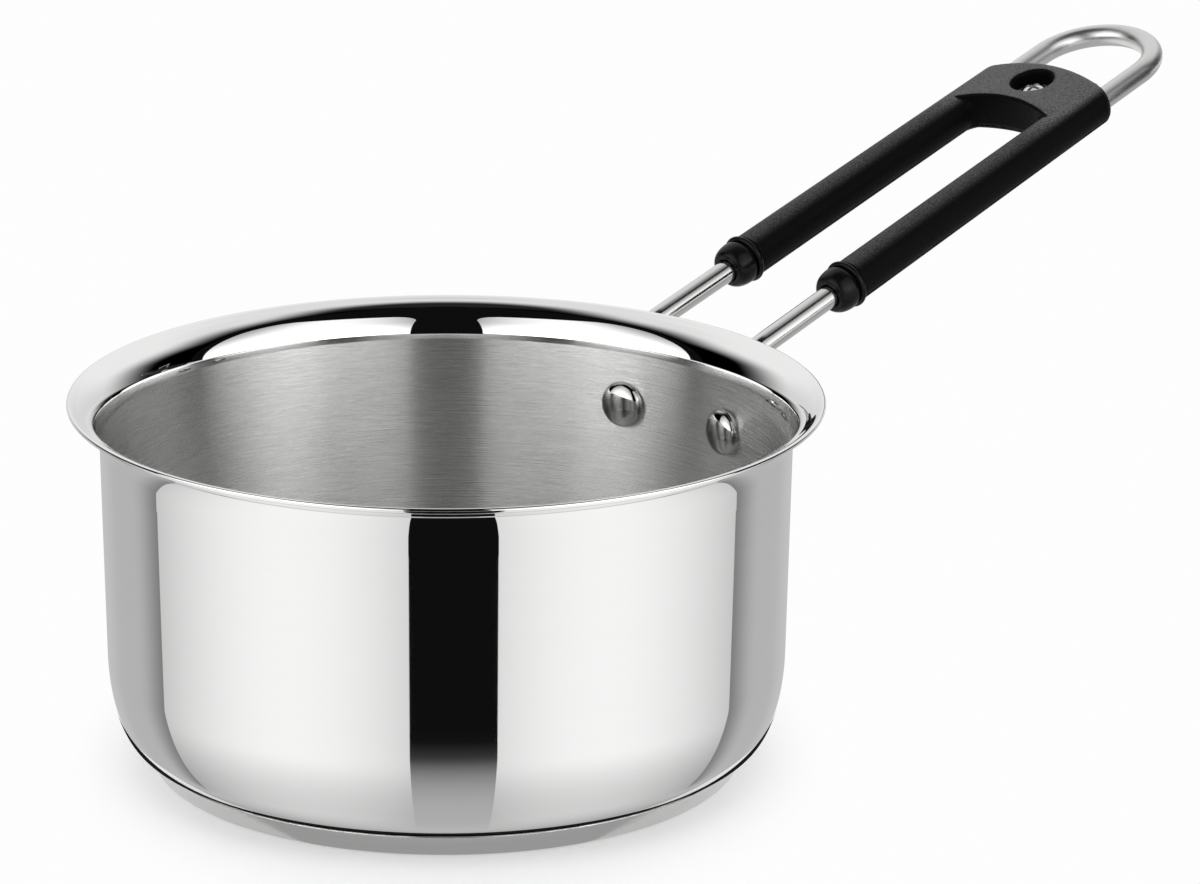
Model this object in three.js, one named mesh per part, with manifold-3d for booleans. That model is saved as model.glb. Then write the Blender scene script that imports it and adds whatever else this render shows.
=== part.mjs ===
// Saucepan with a hairpin wire handle: drawn steel vessel, capsule base, riveted wire and a split black grip.
// Millimetres, +Z up. The origin is the centre of the base underside, and the handle runs along +X.
import * as THREE from "three";
import { mergeVertices } from "three/addons/utils/BufferGeometryUtils.js";
import Module from "manifold-3d";

// Vessel
const BODY_DIAMETER = 160; // outside of the wall where the flare starts
const BODY_HEIGHT = 87.2; // base underside to the top of the rim
const WALL = 0.8; // sheet thickness of the vessel
const WALL_LEAN = 1; // the wall is this much closer to the axis at the lower corner
const CORNER_WIDTH = 7.4; // elliptical lower corner, along the radius
const CORNER_HEIGHT = 21.8; // and along the height
const FLARE_OVERHANG = 7.2; // rim edge beyond the wall
const FLARE_RADIUS = 8.6; // bend radius of the pouring flare at mid sheet

// Capsule base
const CORE_THICKNESS = 5.8; // aluminium disc
const CAP_SHEET = 0.6; // base cap sheet thickness
const CAP_INSET = 0.7; // top edge of the cap inside the flat of the vessel
const CAP_DRAFT = 2.9; // the cap's side leans in by this much towards the bottom
const CAP_BEND = 1.4; // bend radius at mid sheet between floor and side of the cap
const GROOVE = 0.8; // open groove between the cap's edge and the vessel

// Wire handle, with distances measured along its slope from the top of the wall
const HANDLE_SLOPE = THREE.MathUtils.degToRad(16.5);
const WIRE_DIAMETER = 5.5;
const WIRE_SPREAD = 17; // half distance between the rods at the wall
const RIM_GAP = 0.1; // between the rim's edge and the straight line of the rods
const LOOP_RADIUS = 15.7; // wire axis in the hanging loop
const LOOP_NECK = 13; // straight wire between the grip and the centre of the loop
const BEND_RADIUS = 15; // rod to flat end, at the wire axis
const FLAT_THICKNESS = 2.6; // wire end pressed flat
const FLAT_WIDTH = 9.6;
const FLAT_MARGIN = 1.3; // flat end beyond the rivet, above and below

// Rivets
const RIVET_HEAD_DIAMETER = 11.3; // dome inside the vessel
const RIVET_HEAD_HEIGHT = 3.2;
const RIVET_HEAD_EDGE = 0.9; // upright edge of the dome
const RIVET_SHANK_DIAMETER = 4.6;
const RIVET_TAIL_DIAMETER = 7.4; // upset head outside
const RIVET_TAIL_HEIGHT = 1.8;

// Nose caps, with thicknesses built up from the wire outwards
const NOSE_START = 35.5; // front of the nose caps along the slope
const NOSE_LENGTH = 7.2; // dome front to the back of the ring
const NOSE_WALL = 3.2; // solid front of the cap, before the socket
const NOSE_FRONT_LIP = 0.75; // flat round the wire at the front
const NOSE_SWELL = 0.7; // widest part of the dome above the neck
const NECK_WALL = 0.4; // skin over the socket
const NECK_WIDTH = 0.4; // between dome and ring
const DOME_TAIL = 1.2; // from the widest part of the dome back to the neck
const RING_HEIGHT = 1.2; // ring above the neck
const RING_WIDTH = 1.5;

// Grip mouldings
const GRIP_LENGTH = 110.8; // front of the nose caps to the free end, on the centre line
const SPIGOT_WALL = 1.15; // front of the mouldings inside the nose caps
const LEG_WALL = 2.35; // round the wire at the front of the legs
const LEG_TAPER = 0.3; // the legs' radius is this much less at the free end
const END_ARC_RADIUS = 55; // bow of the free end, seen from above
const END_TOP_ROUND = 2.8; // edges of the free end
const END_UNDER_ROUND = 1.8;
const BRIDGE_LENGTH = 19.6; // on the centre line, up to the free end
const BRIDGE_ARCH_RADIUS = 36; // hollow front of the bridge, seen from above
const BRIDGE_CROWN = 6.5; // top of the bridge above the wire plane, on the centre line
const BRIDGE_DROP = 4.6; // underside of the bridge, below the wire plane
const BRIDGE_UNDER_ROUND = 3; // round of the lower front edge
const KEY_WALL = 3.8; // bridge before and behind the key of the lower moulding
const KEY_SIDE_WALL = 2.8; // between the key and the wire
const KEY_ROOF = 0.7; // key above the nut

// Screw and nut of the grip
const SEAT_THICKNESS = 3.2; // bridge under the screw head
const SCREW_HEAD_DIAMETER = 6.2;
const SCREW_HEAD_HEIGHT = 2;
const SCREW_DIAMETER = 3;
const SCREW_END = 0.3; // screw end inside the nut's lower face
const COUNTERBORE_DIAMETER = 11;
const RECESS_WIDTH = 3.2; // cross recess, tip to tip
const RECESS_SLOT = 0.8;
const RECESS_DEPTH = 1.1;
const NUT_ACROSS_FLATS = 5.5;
const NUT_HEIGHT = 2.3;

const CLEARANCE = 0.3; // between pieces that seat on each other

// Facets
const VESSEL_SIDES = 60;
const WIRE_SIDES = 12;
const LEG_SIDES = 28;
const SMALL_SIDES = 20;
const NUT_SIDES = 6;
const ARC_STEPS = 6;
const EDGE_STEPS = 4;
const BEND_STEPS = 8;
const LOOP_STEPS = 10; // from one leg to the tip of the loop
const ROD_STEPS = 4;
const FLAT_SQUARENESS = 0.6; // power that squares up the pressed flat section; 1 is an ellipse
const MERGE = 1e-4; // corners closer than this are one

// Values worked out from the driving dimensions
const bodyRadius = BODY_DIAMETER / 2;
const coreBottom = CAP_SHEET;
const bodyBottom = CAP_SHEET + CORE_THICKNESS;
const flatRadius = bodyRadius - WALL_LEAN - CORNER_WIDTH;
const capTopRadius = flatRadius - CAP_INSET;
const capTop = bodyBottom - GROOVE;
const flareSweep = Math.acos(1 - FLARE_OVERHANG / FLARE_RADIUS);
const flareStart = BODY_HEIGHT - WALL / 2 - FLARE_RADIUS * Math.sin(flareSweep);
const cornerTop = bodyBottom + CORNER_HEIGHT;
const rimRadius = bodyRadius - WALL / 2 + FLARE_OVERHANG; // mid sheet at the edge of the flare
const wireRadius = WIRE_DIAMETER / 2;
const channelRadius = wireRadius + CLEARANCE;

// The straight line of the rods passes just under the edge of the rim.
const rimReach = Math.sqrt(rimRadius ** 2 - WIRE_SPREAD ** 2) - bodyRadius;
const underRim = (wireRadius + WALL / 2 + RIM_GAP) / Math.cos(HANDLE_SLOPE);
const handleHeight = BODY_HEIGHT - WALL / 2 - rimReach * Math.tan(HANDLE_SLOPE) - underRim;
const bendTrim = BEND_RADIUS * Math.tan((Math.PI / 2 - HANDLE_SLOPE) / 2);
const rivetHeight = handleHeight - bendTrim - RIVET_TAIL_DIAMETER / 2 - FLAT_MARGIN;

// Nose caps and legs, as radii about the wire
const spigotRadius = channelRadius + SPIGOT_WALL;
const socketRadius = spigotRadius + CLEARANCE;
const neckRadius = socketRadius + NECK_WALL;
const noseRadius = neckRadius + NOSE_SWELL;
const noseFrontRadius = channelRadius + NOSE_FRONT_LIP;
const ringRadius = neckRadius + RING_HEIGHT;
const legFrontRadius = channelRadius + LEG_WALL;
const legEndRadius = legFrontRadius - LEG_TAPER;

// Places along the slope
const noseBack = NOSE_START + NOSE_LENGTH;
const socketFront = NOSE_START + NOSE_WALL;
const spigotFront = socketFront + CLEARANCE;
const legStart = noseBack + CLEARANCE;
const gripEnd = NOSE_START + GRIP_LENGTH;
const bridgeFront = gripEnd - BRIDGE_LENGTH;
const screwPlace = gripEnd - BRIDGE_LENGTH / 2;
const loopCentre = gripEnd + LOOP_NECK;

// Heights of the screw, key and nut above the wire plane
const nutTop = NUT_HEIGHT - BRIDGE_DROP;
const keyTop = nutTop + CLEARANCE + KEY_ROOF;
const seatHeight = keyTop + CLEARANCE + SEAT_THICKNESS;
const screwSeat = seatHeight + CLEARANCE;
const screwTop = screwSeat + SCREW_HEAD_HEIGHT;

/** Outside radius of the vessel's wall at a height between the lower corner and the flare. */
function wallRadius(height) {
  return bodyRadius - (WALL_LEAN * (flareStart - height)) / (flareStart - cornerTop);
}

const wasm = await Module();
wasm.setup();

/** A closed geometry as a solid: shared corners are merged and faces that collapse on an axis are dropped. */
function solid(geometry) {
  const bare = new THREE.BufferGeometry();
  bare.setAttribute("position", geometry.getAttribute("position"));
  bare.setIndex(geometry.index);
  const merged = mergeVertices(bare, MERGE);
  const corners = merged.index.array;
  const triVerts = [];
  for (let i = 0; i < corners.length; i += 3) {
    const [a, b, c] = corners.slice(i, i + 3);
    if (a !== b && b !== c && c !== a) triVerts.push(a, b, c);
  }
  return new wasm.Manifold(
    new wasm.Mesh({
      numProp: 3,
      vertProperties: new Float32Array(merged.getAttribute("position").array),
      triVerts: new Uint32Array(triVerts),
    }),
  );
}

/** A solid's surface as a geometry. */
function surface(made) {
  const mesh = made.getMesh();
  const geometry = new THREE.BufferGeometry();
  geometry.setAttribute("position", new THREE.BufferAttribute(mesh.vertProperties, mesh.numProp));
  geometry.setIndex(new THREE.BufferAttribute(mesh.triVerts, 1));
  return geometry;
}

/** A named sub-part. */
function piece(name, made, material) {
  const mesh = new THREE.Mesh(surface(made), material);
  mesh.name = name;
  return mesh;
}

/** Points of a circular arc in a profile plane, both ends included. */
function arc(x, y, radius, from, to, steps = ARC_STEPS) {
  const curve = new THREE.EllipseCurve(x, y, radius, radius, from, to, to < from);
  return curve.getPoints(steps);
}

/** A profile of (radius, height) points turned about Z, counter-clockwise in the profile plane. */
function turned(profile, sides) {
  return solid(new THREE.LatheGeometry(profile, sides).rotateX(Math.PI / 2));
}

/** As turned, but about X: the points are (radius, place along X). */
function turnedAlongX(profile, sides) {
  return solid(new THREE.LatheGeometry(profile, sides).rotateZ(-Math.PI / 2));
}

/** A flat shape pulled straight up from its plane by a height. */
function pulled(shape, height) {
  return new THREE.ExtrudeGeometry(shape, {
    depth: height,
    bevelEnabled: false,
    curveSegments: ARC_STEPS,
  });
}

/** A box between two corners. */
function block(low, high) {
  const size = high.map((value, axis) => value - low[axis]);
  const middle = high.map((value, axis) => (value + low[axis]) / 2);
  return solid(new THREE.BoxGeometry(...size).translate(...middle));
}

/** An upright round bar from one height to another, at a place along X. */
function bar(place, diameter, low, high, sides = SMALL_SIDES) {
  const length = high - low;
  const cylinder = new THREE.CylinderGeometry(diameter / 2, diameter / 2, length, sides);
  return solid(cylinder.rotateX(Math.PI / 2).translate(place, 0, low + length / 2));
}

/** The closed outline of a sheet that follows a mid line, with a half-round free edge. */
function sheetProfile(midLine, thickness) {
  const half = thickness / 2;
  const last = midLine.length - 1;
  const left = [];
  const right = [];
  midLine.forEach((point, i) => {
    const ahead = midLine[Math.min(i + 1, last)];
    const behind = midLine[Math.max(i - 1, 0)];
    const along = ahead.clone().sub(behind).normalize();
    const across = new THREE.Vector2(-along.y, along.x).multiplyScalar(half);
    if (i === 0) across.set(0, half);
    left.push(point.clone().add(across));
    right.push(point.clone().sub(across));
  });
  const end = midLine[last];
  const heading = end.clone().sub(midLine[last - 1]).angle();
  const edge = arc(end.x, end.y, half, heading - Math.PI / 2, heading + Math.PI / 2, EDGE_STEPS);
  return [...right.slice(0, last), ...edge, ...left.slice(0, last).reverse()];
}

/** Turns a point of the handle (along the slope, across, above the wire plane) into the pan's frame. */
function onHandle(along, across, above) {
  const [c, s] = [Math.cos(HANDLE_SLOPE), Math.sin(HANDLE_SLOPE)];
  return new THREE.Vector3(
    bodyRadius + along * c - above * s,
    across,
    handleHeight + along * s + above * c,
  );
}

// Each leg of the hairpin runs from the wall, straight to where it touches the circle of the loop.
const flatAxisRadius = wallRadius(rivetHeight) + CLEARANCE + FLAT_THICKNESS / 2;
const rivetAzimuth = Math.asin(WIRE_SPREAD / flatAxisRadius);
const flatAxisX = flatAxisRadius * Math.cos(rivetAzimuth);
const legOrigin = (flatAxisX - bodyRadius) / Math.cos(HANDLE_SLOPE);
const legRun = loopCentre - legOrigin;
const toCentre = Math.hypot(legRun, WIRE_SPREAD);
const closing = Math.atan2(WIRE_SPREAD, legRun) - Math.asin(LOOP_RADIUS / toCentre);

/** Half distance between the wire axes at a place along the slope. */
function halfSpread(along) {
  return WIRE_SPREAD - (along - legOrigin) * Math.tan(closing);
}

/** Stations of one half of the wire, from the flat end to the tip of the loop. */
function wireStations() {
  const stations = [];
  const up = new THREE.Vector3(0, 0, 1);
  const tangential = new THREE.Vector3(-Math.sin(rivetAzimuth), Math.cos(rivetAzimuth), 0);
  const lateral = new THREE.Vector3(0, 1, 0);
  const start = onHandle(legOrigin, WIRE_SPREAD, 0);
  const tangentEnd = loopCentre + LOOP_RADIUS * Math.sin(closing);
  const touch = onHandle(tangentEnd, LOOP_RADIUS * Math.cos(closing), 0);
  const outward = touch.clone().sub(start).normalize();
  const turn = up.angleTo(outward);
  const bendStart = start.clone().addScaledVector(up, -bendTrim);
  const bendEnd = start.clone().addScaledVector(outward, bendTrim);
  const side = outward.clone().addScaledVector(up, -outward.dot(up)).normalize();

  // Flat end: a round tail, then the full width up to the bend.
  const half = FLAT_WIDTH / 2;
  const tailCentre = rivetHeight - FLAT_MARGIN;
  for (let i = 1; i <= ARC_STEPS; i++) {
    const angle = (Math.PI / 2) * (i / ARC_STEPS);
    const place = bendStart.clone().setZ(tailCentre - half * Math.cos(angle));
    stations.push({ place, heading: up, across: tangential, width: half * Math.sin(angle), flat: 1 });
  }
  for (let i = 0; i <= BEND_STEPS; i++) {
    const share = i / BEND_STEPS;
    const angle = turn * share;
    const place = bendStart
      .clone()
      .addScaledVector(up, BEND_RADIUS * Math.sin(angle))
      .addScaledVector(side, BEND_RADIUS * (1 - Math.cos(angle)));
    const heading = up.clone().multiplyScalar(Math.cos(angle)).addScaledVector(side, Math.sin(angle));
    const across = tangential.clone().lerp(lateral, share);
    across.addScaledVector(heading, -across.dot(heading)).normalize();
    stations.push({ place, heading, across, flat: 1 - THREE.MathUtils.smoothstep(share, 0, 1) });
  }
  for (let i = 1; i < ROD_STEPS; i++) {
    const place = bendEnd.clone().lerp(touch, i / ROD_STEPS);
    stations.push({ place, heading: outward, across: lateral, flat: 0 });
  }
  for (let i = 0; i <= LOOP_STEPS; i++) {
    const angle = (Math.PI / 2 - closing) * (1 - i / LOOP_STEPS);
    const along = loopCentre + LOOP_RADIUS * Math.cos(angle);
    const place = onHandle(along, LOOP_RADIUS * Math.sin(angle), 0);
    const across = onHandle(Math.cos(angle), Math.sin(angle), 0).sub(onHandle(0, 0, 0));
    const heading = onHandle(Math.sin(angle), -Math.cos(angle), 0).sub(onHandle(0, 0, 0));
    stations.push({ place, heading, across, flat: 0 });
  }
  return stations;
}

/** The same station on the other side of the handle, travelled the other way. */
function mirrored(station) {
  const flip = new THREE.Vector3(1, -1, 1);
  return {
    ...station,
    place: station.place.clone().multiply(flip),
    heading: station.heading.clone().multiply(flip).negate(),
    across: station.across.clone().multiply(flip),
  };
}

/** Round wire lofted through its stations: the section goes over into a flat one with full round edges. */
function wireSolid() {
  const half = wireStations();
  const stations = [...half, ...half.slice(0, -1).reverse().map(mirrored)];
  const corners = [];
  for (const { place, heading, across, flat, width } of stations) {
    const halfWidth = width ?? THREE.MathUtils.lerp(wireRadius, FLAT_WIDTH / 2, flat);
    const halfThickness = THREE.MathUtils.lerp(wireRadius, FLAT_THICKNESS / 2, flat);
    const squareness = THREE.MathUtils.lerp(1, FLAT_SQUARENESS, flat);
    const normal = new THREE.Vector3().crossVectors(heading, across);
    for (let k = 0; k < WIRE_SIDES; k++) {
      const angle = (2 * Math.PI * k) / WIRE_SIDES;
      const [c, s] = [Math.cos(angle), Math.sin(angle)];
      const point = place
        .clone()
        .addScaledVector(across, halfWidth * Math.sign(c) * Math.abs(c) ** squareness)
        .addScaledVector(normal, halfThickness * Math.sign(s) * Math.abs(s) ** squareness);
      corners.push(...point.toArray());
    }
  }
  const faces = [];
  for (let i = 0; i + 1 < stations.length; i++) {
    for (let k = 0; k < WIRE_SIDES; k++) {
      const next = (k + 1) % WIRE_SIDES;
      const [a, b] = [i * WIRE_SIDES + k, i * WIRE_SIDES + next];
      faces.push(a, b, b + WIRE_SIDES, a, b + WIRE_SIDES, a + WIRE_SIDES);
    }
  }
  const lastRing = (stations.length - 1) * WIRE_SIDES;
  for (let k = 1; k + 1 < WIRE_SIDES; k++) {
    faces.push(0, k + 1, k, lastRing, lastRing + k, lastRing + k + 1);
  }
  const geometry = new THREE.BufferGeometry();
  geometry.setAttribute("position", new THREE.Float32BufferAttribute(corners, 3));
  geometry.setIndex(faces);
  return solid(geometry);
}

/** The radial hole that a rivet passes through, on the left (1) or the right (-1). */
function rivetHole(side) {
  const reach = 4 * RIVET_HEAD_DIAMETER;
  const radius = RIVET_SHANK_DIAMETER / 2 + CLEARANCE;
  const hole = new THREE.CylinderGeometry(radius, radius, reach, SMALL_SIDES).rotateZ(Math.PI / 2);
  hole.translate(flatAxisRadius, 0, rivetHeight).rotateZ(side * rivetAzimuth);
  return solid(hole);
}

/** A solid with both rivet holes drilled. */
function drilled(made) {
  return made.subtract(rivetHole(1)).subtract(rivetHole(-1));
}

/** Drawn vessel: flat bottom, elliptical corner, leaning wall and quarter-round pouring flare. */
function vessel() {
  const half = WALL / 2;
  const corner = new THREE.EllipseCurve(
    flatRadius, cornerTop, CORNER_WIDTH - half, CORNER_HEIGHT - half, -Math.PI / 2, 0, false,
  );
  const flareCentre = bodyRadius - half + FLARE_RADIUS;
  const flare = arc(flareCentre, flareStart, FLARE_RADIUS, Math.PI, Math.PI - flareSweep);
  const midLine = [
    new THREE.Vector2(0, bodyBottom + half),
    ...corner.getPoints(BEND_STEPS),
    ...flare,
  ];
  return drilled(turned(sheetProfile(midLine, WALL), VESSEL_SIDES));
}

/** Lean of the base cap's side, as a unit vector up its slope. */
const capSide = new THREE.Vector2(CAP_DRAFT, capTop).normalize();

/** Pressed dish under the aluminium disc, with a leaning side and a round edge. */
function baseCap() {
  const half = CAP_SHEET / 2;
  const top = new THREE.Vector2(capTopRadius - half, capTop - half);
  const lean = capSide.angle();
  const rise = top.y - half;
  const kneeRadius = top.x - (rise * capSide.x) / capSide.y;
  const trim = CAP_BEND * Math.tan(lean / 2);
  const bendFrom = -Math.PI / 2;
  const bend = arc(kneeRadius - trim, half + CAP_BEND, CAP_BEND, bendFrom, bendFrom + lean, EDGE_STEPS);
  const midLine = [new THREE.Vector2(0, half), ...bend, top];
  return turned(sheetProfile(midLine, CAP_SHEET), VESSEL_SIDES);
}

/** Aluminium disc that fills the cap and stands against the vessel's flat bottom. */
function heatCore() {
  const lean = capSide.x / capSide.y;
  const inset = (CAP_SHEET + CLEARANCE) / capSide.y;
  const sideRadius = (height) => capTopRadius - (capTop - height) * lean - inset;
  const chamfer = CAP_BEND;
  return turned(
    [
      new THREE.Vector2(0, coreBottom),
      new THREE.Vector2(sideRadius(coreBottom) - chamfer, coreBottom),
      new THREE.Vector2(sideRadius(coreBottom + chamfer), coreBottom + chamfer),
      new THREE.Vector2(sideRadius(capTop), capTop),
      new THREE.Vector2(sideRadius(capTop), bodyBottom),
      new THREE.Vector2(0, bodyBottom),
    ],
    VESSEL_SIDES,
  );
}

/** Points of a dome from its rim to its apex on the axis: (radius, place along the axis). */
function dome(rimRadius, rimPlace, height) {
  const points = [];
  for (let i = 0; i <= ARC_STEPS; i++) {
    const angle = (Math.PI / 2) * (i / ARC_STEPS);
    points.push(new THREE.Vector2(rimRadius * Math.cos(angle), rimPlace + height * Math.sin(angle)));
  }
  return points;
}

/** Rivet along X: dome head inside the vessel, shank, and a lower upset head outside the wire's flat end. */
function rivet() {
  const headSeat = wallRadius(rivetHeight) - WALL - CLEARANCE;
  const tailSeat = flatAxisRadius + FLAT_THICKNESS / 2 + CLEARANCE;
  const shank = RIVET_SHANK_DIAMETER / 2;
  const head = RIVET_HEAD_DIAMETER / 2;
  const domeHeight = RIVET_HEAD_HEIGHT - RIVET_HEAD_EDGE;
  return turnedAlongX(
    [
      ...dome(head, headSeat - RIVET_HEAD_EDGE, -domeHeight).reverse(),
      new THREE.Vector2(head, headSeat),
      new THREE.Vector2(shank, headSeat),
      new THREE.Vector2(shank, tailSeat),
      ...dome(RIVET_TAIL_DIAMETER / 2, tailSeat, RIVET_TAIL_HEIGHT),
    ],
    SMALL_SIDES,
  );
}

/** Places something made about X on a leg of the grip, on the left (1) or the right (-1). */
function onLeg(made, side) {
  const turn = new THREE.Matrix4().makeRotationZ(-side * closing);
  const shift = new THREE.Matrix4().makeTranslation(legOrigin, side * WIRE_SPREAD, 0);
  const back = new THREE.Matrix4().makeTranslation(-legOrigin, 0, 0);
  return made.transform(shift.multiply(turn).multiply(back).toArray());
}

/** Round leg with a slight taper and a spigot in front. */
function leg() {
  return turnedAlongX(
    [
      new THREE.Vector2(0, spigotFront),
      new THREE.Vector2(spigotRadius, spigotFront),
      new THREE.Vector2(spigotRadius, legStart),
      new THREE.Vector2(legFrontRadius, legStart),
      new THREE.Vector2(legEndRadius, gripEnd),
      new THREE.Vector2(0, gripEnd),
    ],
    LEG_SIDES,
  );
}

/** Bridge between the legs: crowned across, flat below and hollow in front. */
function bridge() {
  const legAxis = halfSpread(gripEnd);
  const legTop = legEndRadius - CLEARANCE;
  const start = bridgeFront - BRIDGE_LENGTH / 2;
  const rise = BRIDGE_CROWN - legTop;
  const crownRadius = (legAxis ** 2 + rise ** 2) / (2 * rise);
  const sweep = Math.asin(legAxis / crownRadius);
  const section = new THREE.Shape();
  section.moveTo(-legAxis, -BRIDGE_DROP);
  section.lineTo(legAxis, -BRIDGE_DROP);
  section.absarc(0, BRIDGE_CROWN - crownRadius, crownRadius, Math.PI / 2 - sweep, Math.PI / 2 + sweep, false);
  const crowned = pulled(section, gripEnd - start).rotateX(Math.PI / 2).rotateZ(Math.PI / 2);
  const hollow = fingerHollow().translate([bridgeFront - BRIDGE_ARCH_RADIUS, 0, 0]);
  return solid(crowned.translate(start, 0, 0)).subtract(hollow);
}

/** Round space in front of the bridge, turned about Z, that opens out below to round the lower edge. */
function fingerHollow() {
  const round = BRIDGE_UNDER_ROUND;
  const outer = BRIDGE_ARCH_RADIUS + round;
  const top = 2 * BRIDGE_CROWN;
  return turned(
    [
      new THREE.Vector2(0, -BRIDGE_DROP - round),
      new THREE.Vector2(outer, -BRIDGE_DROP - round),
      ...arc(outer, round - BRIDGE_DROP, round, 1.5 * Math.PI, Math.PI, EDGE_STEPS),
      new THREE.Vector2(BRIDGE_ARCH_RADIUS, top),
      new THREE.Vector2(0, top),
    ],
    2 * VESSEL_SIDES,
  );
}

/** What is cut from the free end: all that lies outside a bowed end with round edges. */
function endTrim() {
  const top = END_TOP_ROUND;
  const under = END_UNDER_ROUND;
  const bowed = turned(
    [
      new THREE.Vector2(0, -legEndRadius),
      ...arc(END_ARC_RADIUS - under, under - legEndRadius, under, -Math.PI / 2, 0, EDGE_STEPS),
      ...arc(END_ARC_RADIUS - top, BRIDGE_CROWN - top, top, 0, Math.PI / 2, EDGE_STEPS),
      new THREE.Vector2(0, BRIDGE_CROWN),
    ],
    2 * VESSEL_SIDES,
  );
  const reach = 2 * END_ARC_RADIUS;
  const end = block([screwPlace, -reach, -reach], [gripEnd + reach, reach, reach]);
  return end.subtract(bowed.translate([gripEnd - END_ARC_RADIUS, 0, 0]));
}

/** Whole outside of the grip, legs and bridge in one. */
function gripForm() {
  return onLeg(leg(), 1).add(onLeg(leg(), -1)).add(bridge()).subtract(endTrim());
}

/** Channel that the wire lies in, open downwards. */
function wireChannel() {
  const from = NOSE_START;
  const to = gripEnd + LOOP_NECK;
  const round = turnedAlongX(
    [
      new THREE.Vector2(0, from),
      new THREE.Vector2(channelRadius, from),
      new THREE.Vector2(channelRadius, to),
      new THREE.Vector2(0, to),
    ],
    SMALL_SIDES,
  );
  const slot = block([from, -channelRadius, -2 * legFrontRadius], [to, channelRadius, 0]);
  return round.add(slot);
}

/** Block of the lower moulding that keys into the bridge, grown by a clearance for its pocket. */
function bridgeKey(grow) {
  const half = BRIDGE_LENGTH / 2 - KEY_WALL + grow;
  const across = halfSpread(screwPlace) - channelRadius - KEY_SIDE_WALL + grow;
  const low = -channelRadius - CLEARANCE;
  return block([screwPlace - half, -across, low], [screwPlace + half, across, keyTop + grow]);
}

/** Everything below a height, across the whole grip. */
function below(height) {
  const reach = 2 * gripEnd;
  return block([-reach, -reach, -reach], [reach, reach, height]);
}

/** Hole for the screw through both mouldings and the nut. */
function screwHole() {
  return bar(screwPlace, SCREW_DIAMETER + 2 * CLEARANCE, -2 * BRIDGE_DROP, BRIDGE_CROWN);
}

/** Main moulding: legs and bridge down to the wire's underside, with channels, key pocket and counterbore. */
function gripUpper(form) {
  return form
    .subtract(below(-wireRadius))
    .subtract(onLeg(wireChannel(), 1))
    .subtract(onLeg(wireChannel(), -1))
    .subtract(bridgeKey(CLEARANCE))
    .subtract(bar(screwPlace, COUNTERBORE_DIAMETER, seatHeight, 2 * BRIDGE_CROWN))
    .subtract(screwHole());
}

/** Lower moulding: closes the channels from below, keyed into the bridge, with a pocket for the nut. */
function gripLower(form) {
  const pocket = nutBlank(CLEARANCE, -2 * BRIDGE_DROP, nutTop + CLEARANCE);
  return form
    .intersect(below(-channelRadius))
    .add(bridgeKey(0))
    .subtract(pocket)
    .subtract(screwHole());
}

/** Hexagon prism about the screw axis, grown by a clearance on its flats. */
function nutBlank(grow, low, high) {
  const corner = (NUT_ACROSS_FLATS / 2 + grow) / Math.cos(Math.PI / NUT_SIDES);
  return bar(screwPlace, 2 * corner, low, high, NUT_SIDES);
}

/** Hexagon nut, flush with the underside of the bridge. */
function gripNut() {
  return nutBlank(0, -BRIDGE_DROP, nutTop).subtract(screwHole());
}

/** Pan-head screw with a cross recess, upright on the screw axis. */
function gripScrew() {
  const head = SCREW_HEAD_DIAMETER / 2;
  const shank = SCREW_DIAMETER / 2;
  const tip = SCREW_END - BRIDGE_DROP;
  const edge = SCREW_HEAD_HEIGHT / 2;
  const profile = [
    new THREE.Vector2(0, tip),
    new THREE.Vector2(shank, tip),
    new THREE.Vector2(shank, screwSeat),
    new THREE.Vector2(head, screwSeat),
    ...dome(head, screwSeat + edge, SCREW_HEAD_HEIGHT - edge),
  ];
  const recess = (x, y) => block([-x / 2, -y / 2, screwTop - RECESS_DEPTH], [x / 2, y / 2, 2 * screwTop]);
  return turned(profile, SMALL_SIDES)
    .subtract(recess(RECESS_WIDTH, RECESS_SLOT))
    .subtract(recess(RECESS_SLOT, RECESS_WIDTH))
    .translate([screwPlace, 0, 0]);
}

/** Nose cap along X: dome round the wire, neck and ring, with a socket for the front of the mouldings. */
function noseCap() {
  const ringFront = noseBack - RING_WIDTH;
  const neckFront = ringFront - NECK_WIDTH;
  const widest = neckFront - DOME_TAIL;
  const front = dome(noseRadius - noseFrontRadius, widest, NOSE_START - widest).reverse();
  const ringRound = RING_WIDTH / 2;
  return turnedAlongX(
    [
      new THREE.Vector2(channelRadius, NOSE_START),
      ...front.map((point) => point.add(new THREE.Vector2(noseFrontRadius, 0))),
      new THREE.Vector2(neckRadius, neckFront),
      new THREE.Vector2(neckRadius, ringFront),
      ...arc(ringRadius - ringRound, noseBack - ringRound, ringRound, -Math.PI / 2, Math.PI / 2, EDGE_STEPS),
      new THREE.Vector2(socketRadius, noseBack),
      new THREE.Vector2(socketRadius, socketFront),
      new THREE.Vector2(channelRadius, socketFront),
      new THREE.Vector2(channelRadius, NOSE_START),
    ],
    LEG_SIDES,
  );
}

/** Material of one sub-part. */
function finish(color, roughness, metalness) {
  return new THREE.MeshStandardMaterial({ color, roughness, metalness });
}

const polishedSteel = finish(0xc9c8c4, 0.12, 1);
const satinSteel = finish(0xb4b3af, 0.4, 1);
const wireSteel = finish(0xc2c1bd, 0.2, 1);
const aluminium = finish(0x8d8f91, 0.5, 1);
const grainedBlack = finish(0x141414, 0.55, 0);
const smoothBlack = finish(0x0e0e0e, 0.35, 0);

const saucepan = new THREE.Group();
saucepan.add(
  piece("pan_body", vessel(), polishedSteel),
  piece("heat_core_disc", heatCore(), aluminium),
  piece("base_cap", baseCap(), satinSteel),
  piece("handle_wire", drilled(wireSolid()), wireSteel),
);

for (const [name, side] of [["left", 1], ["right", -1]]) {
  const placed = piece("rivet_" + name, rivet(), polishedSteel);
  placed.position.z = rivetHeight;
  placed.rotation.z = side * rivetAzimuth;
  saucepan.add(placed);
}

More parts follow.
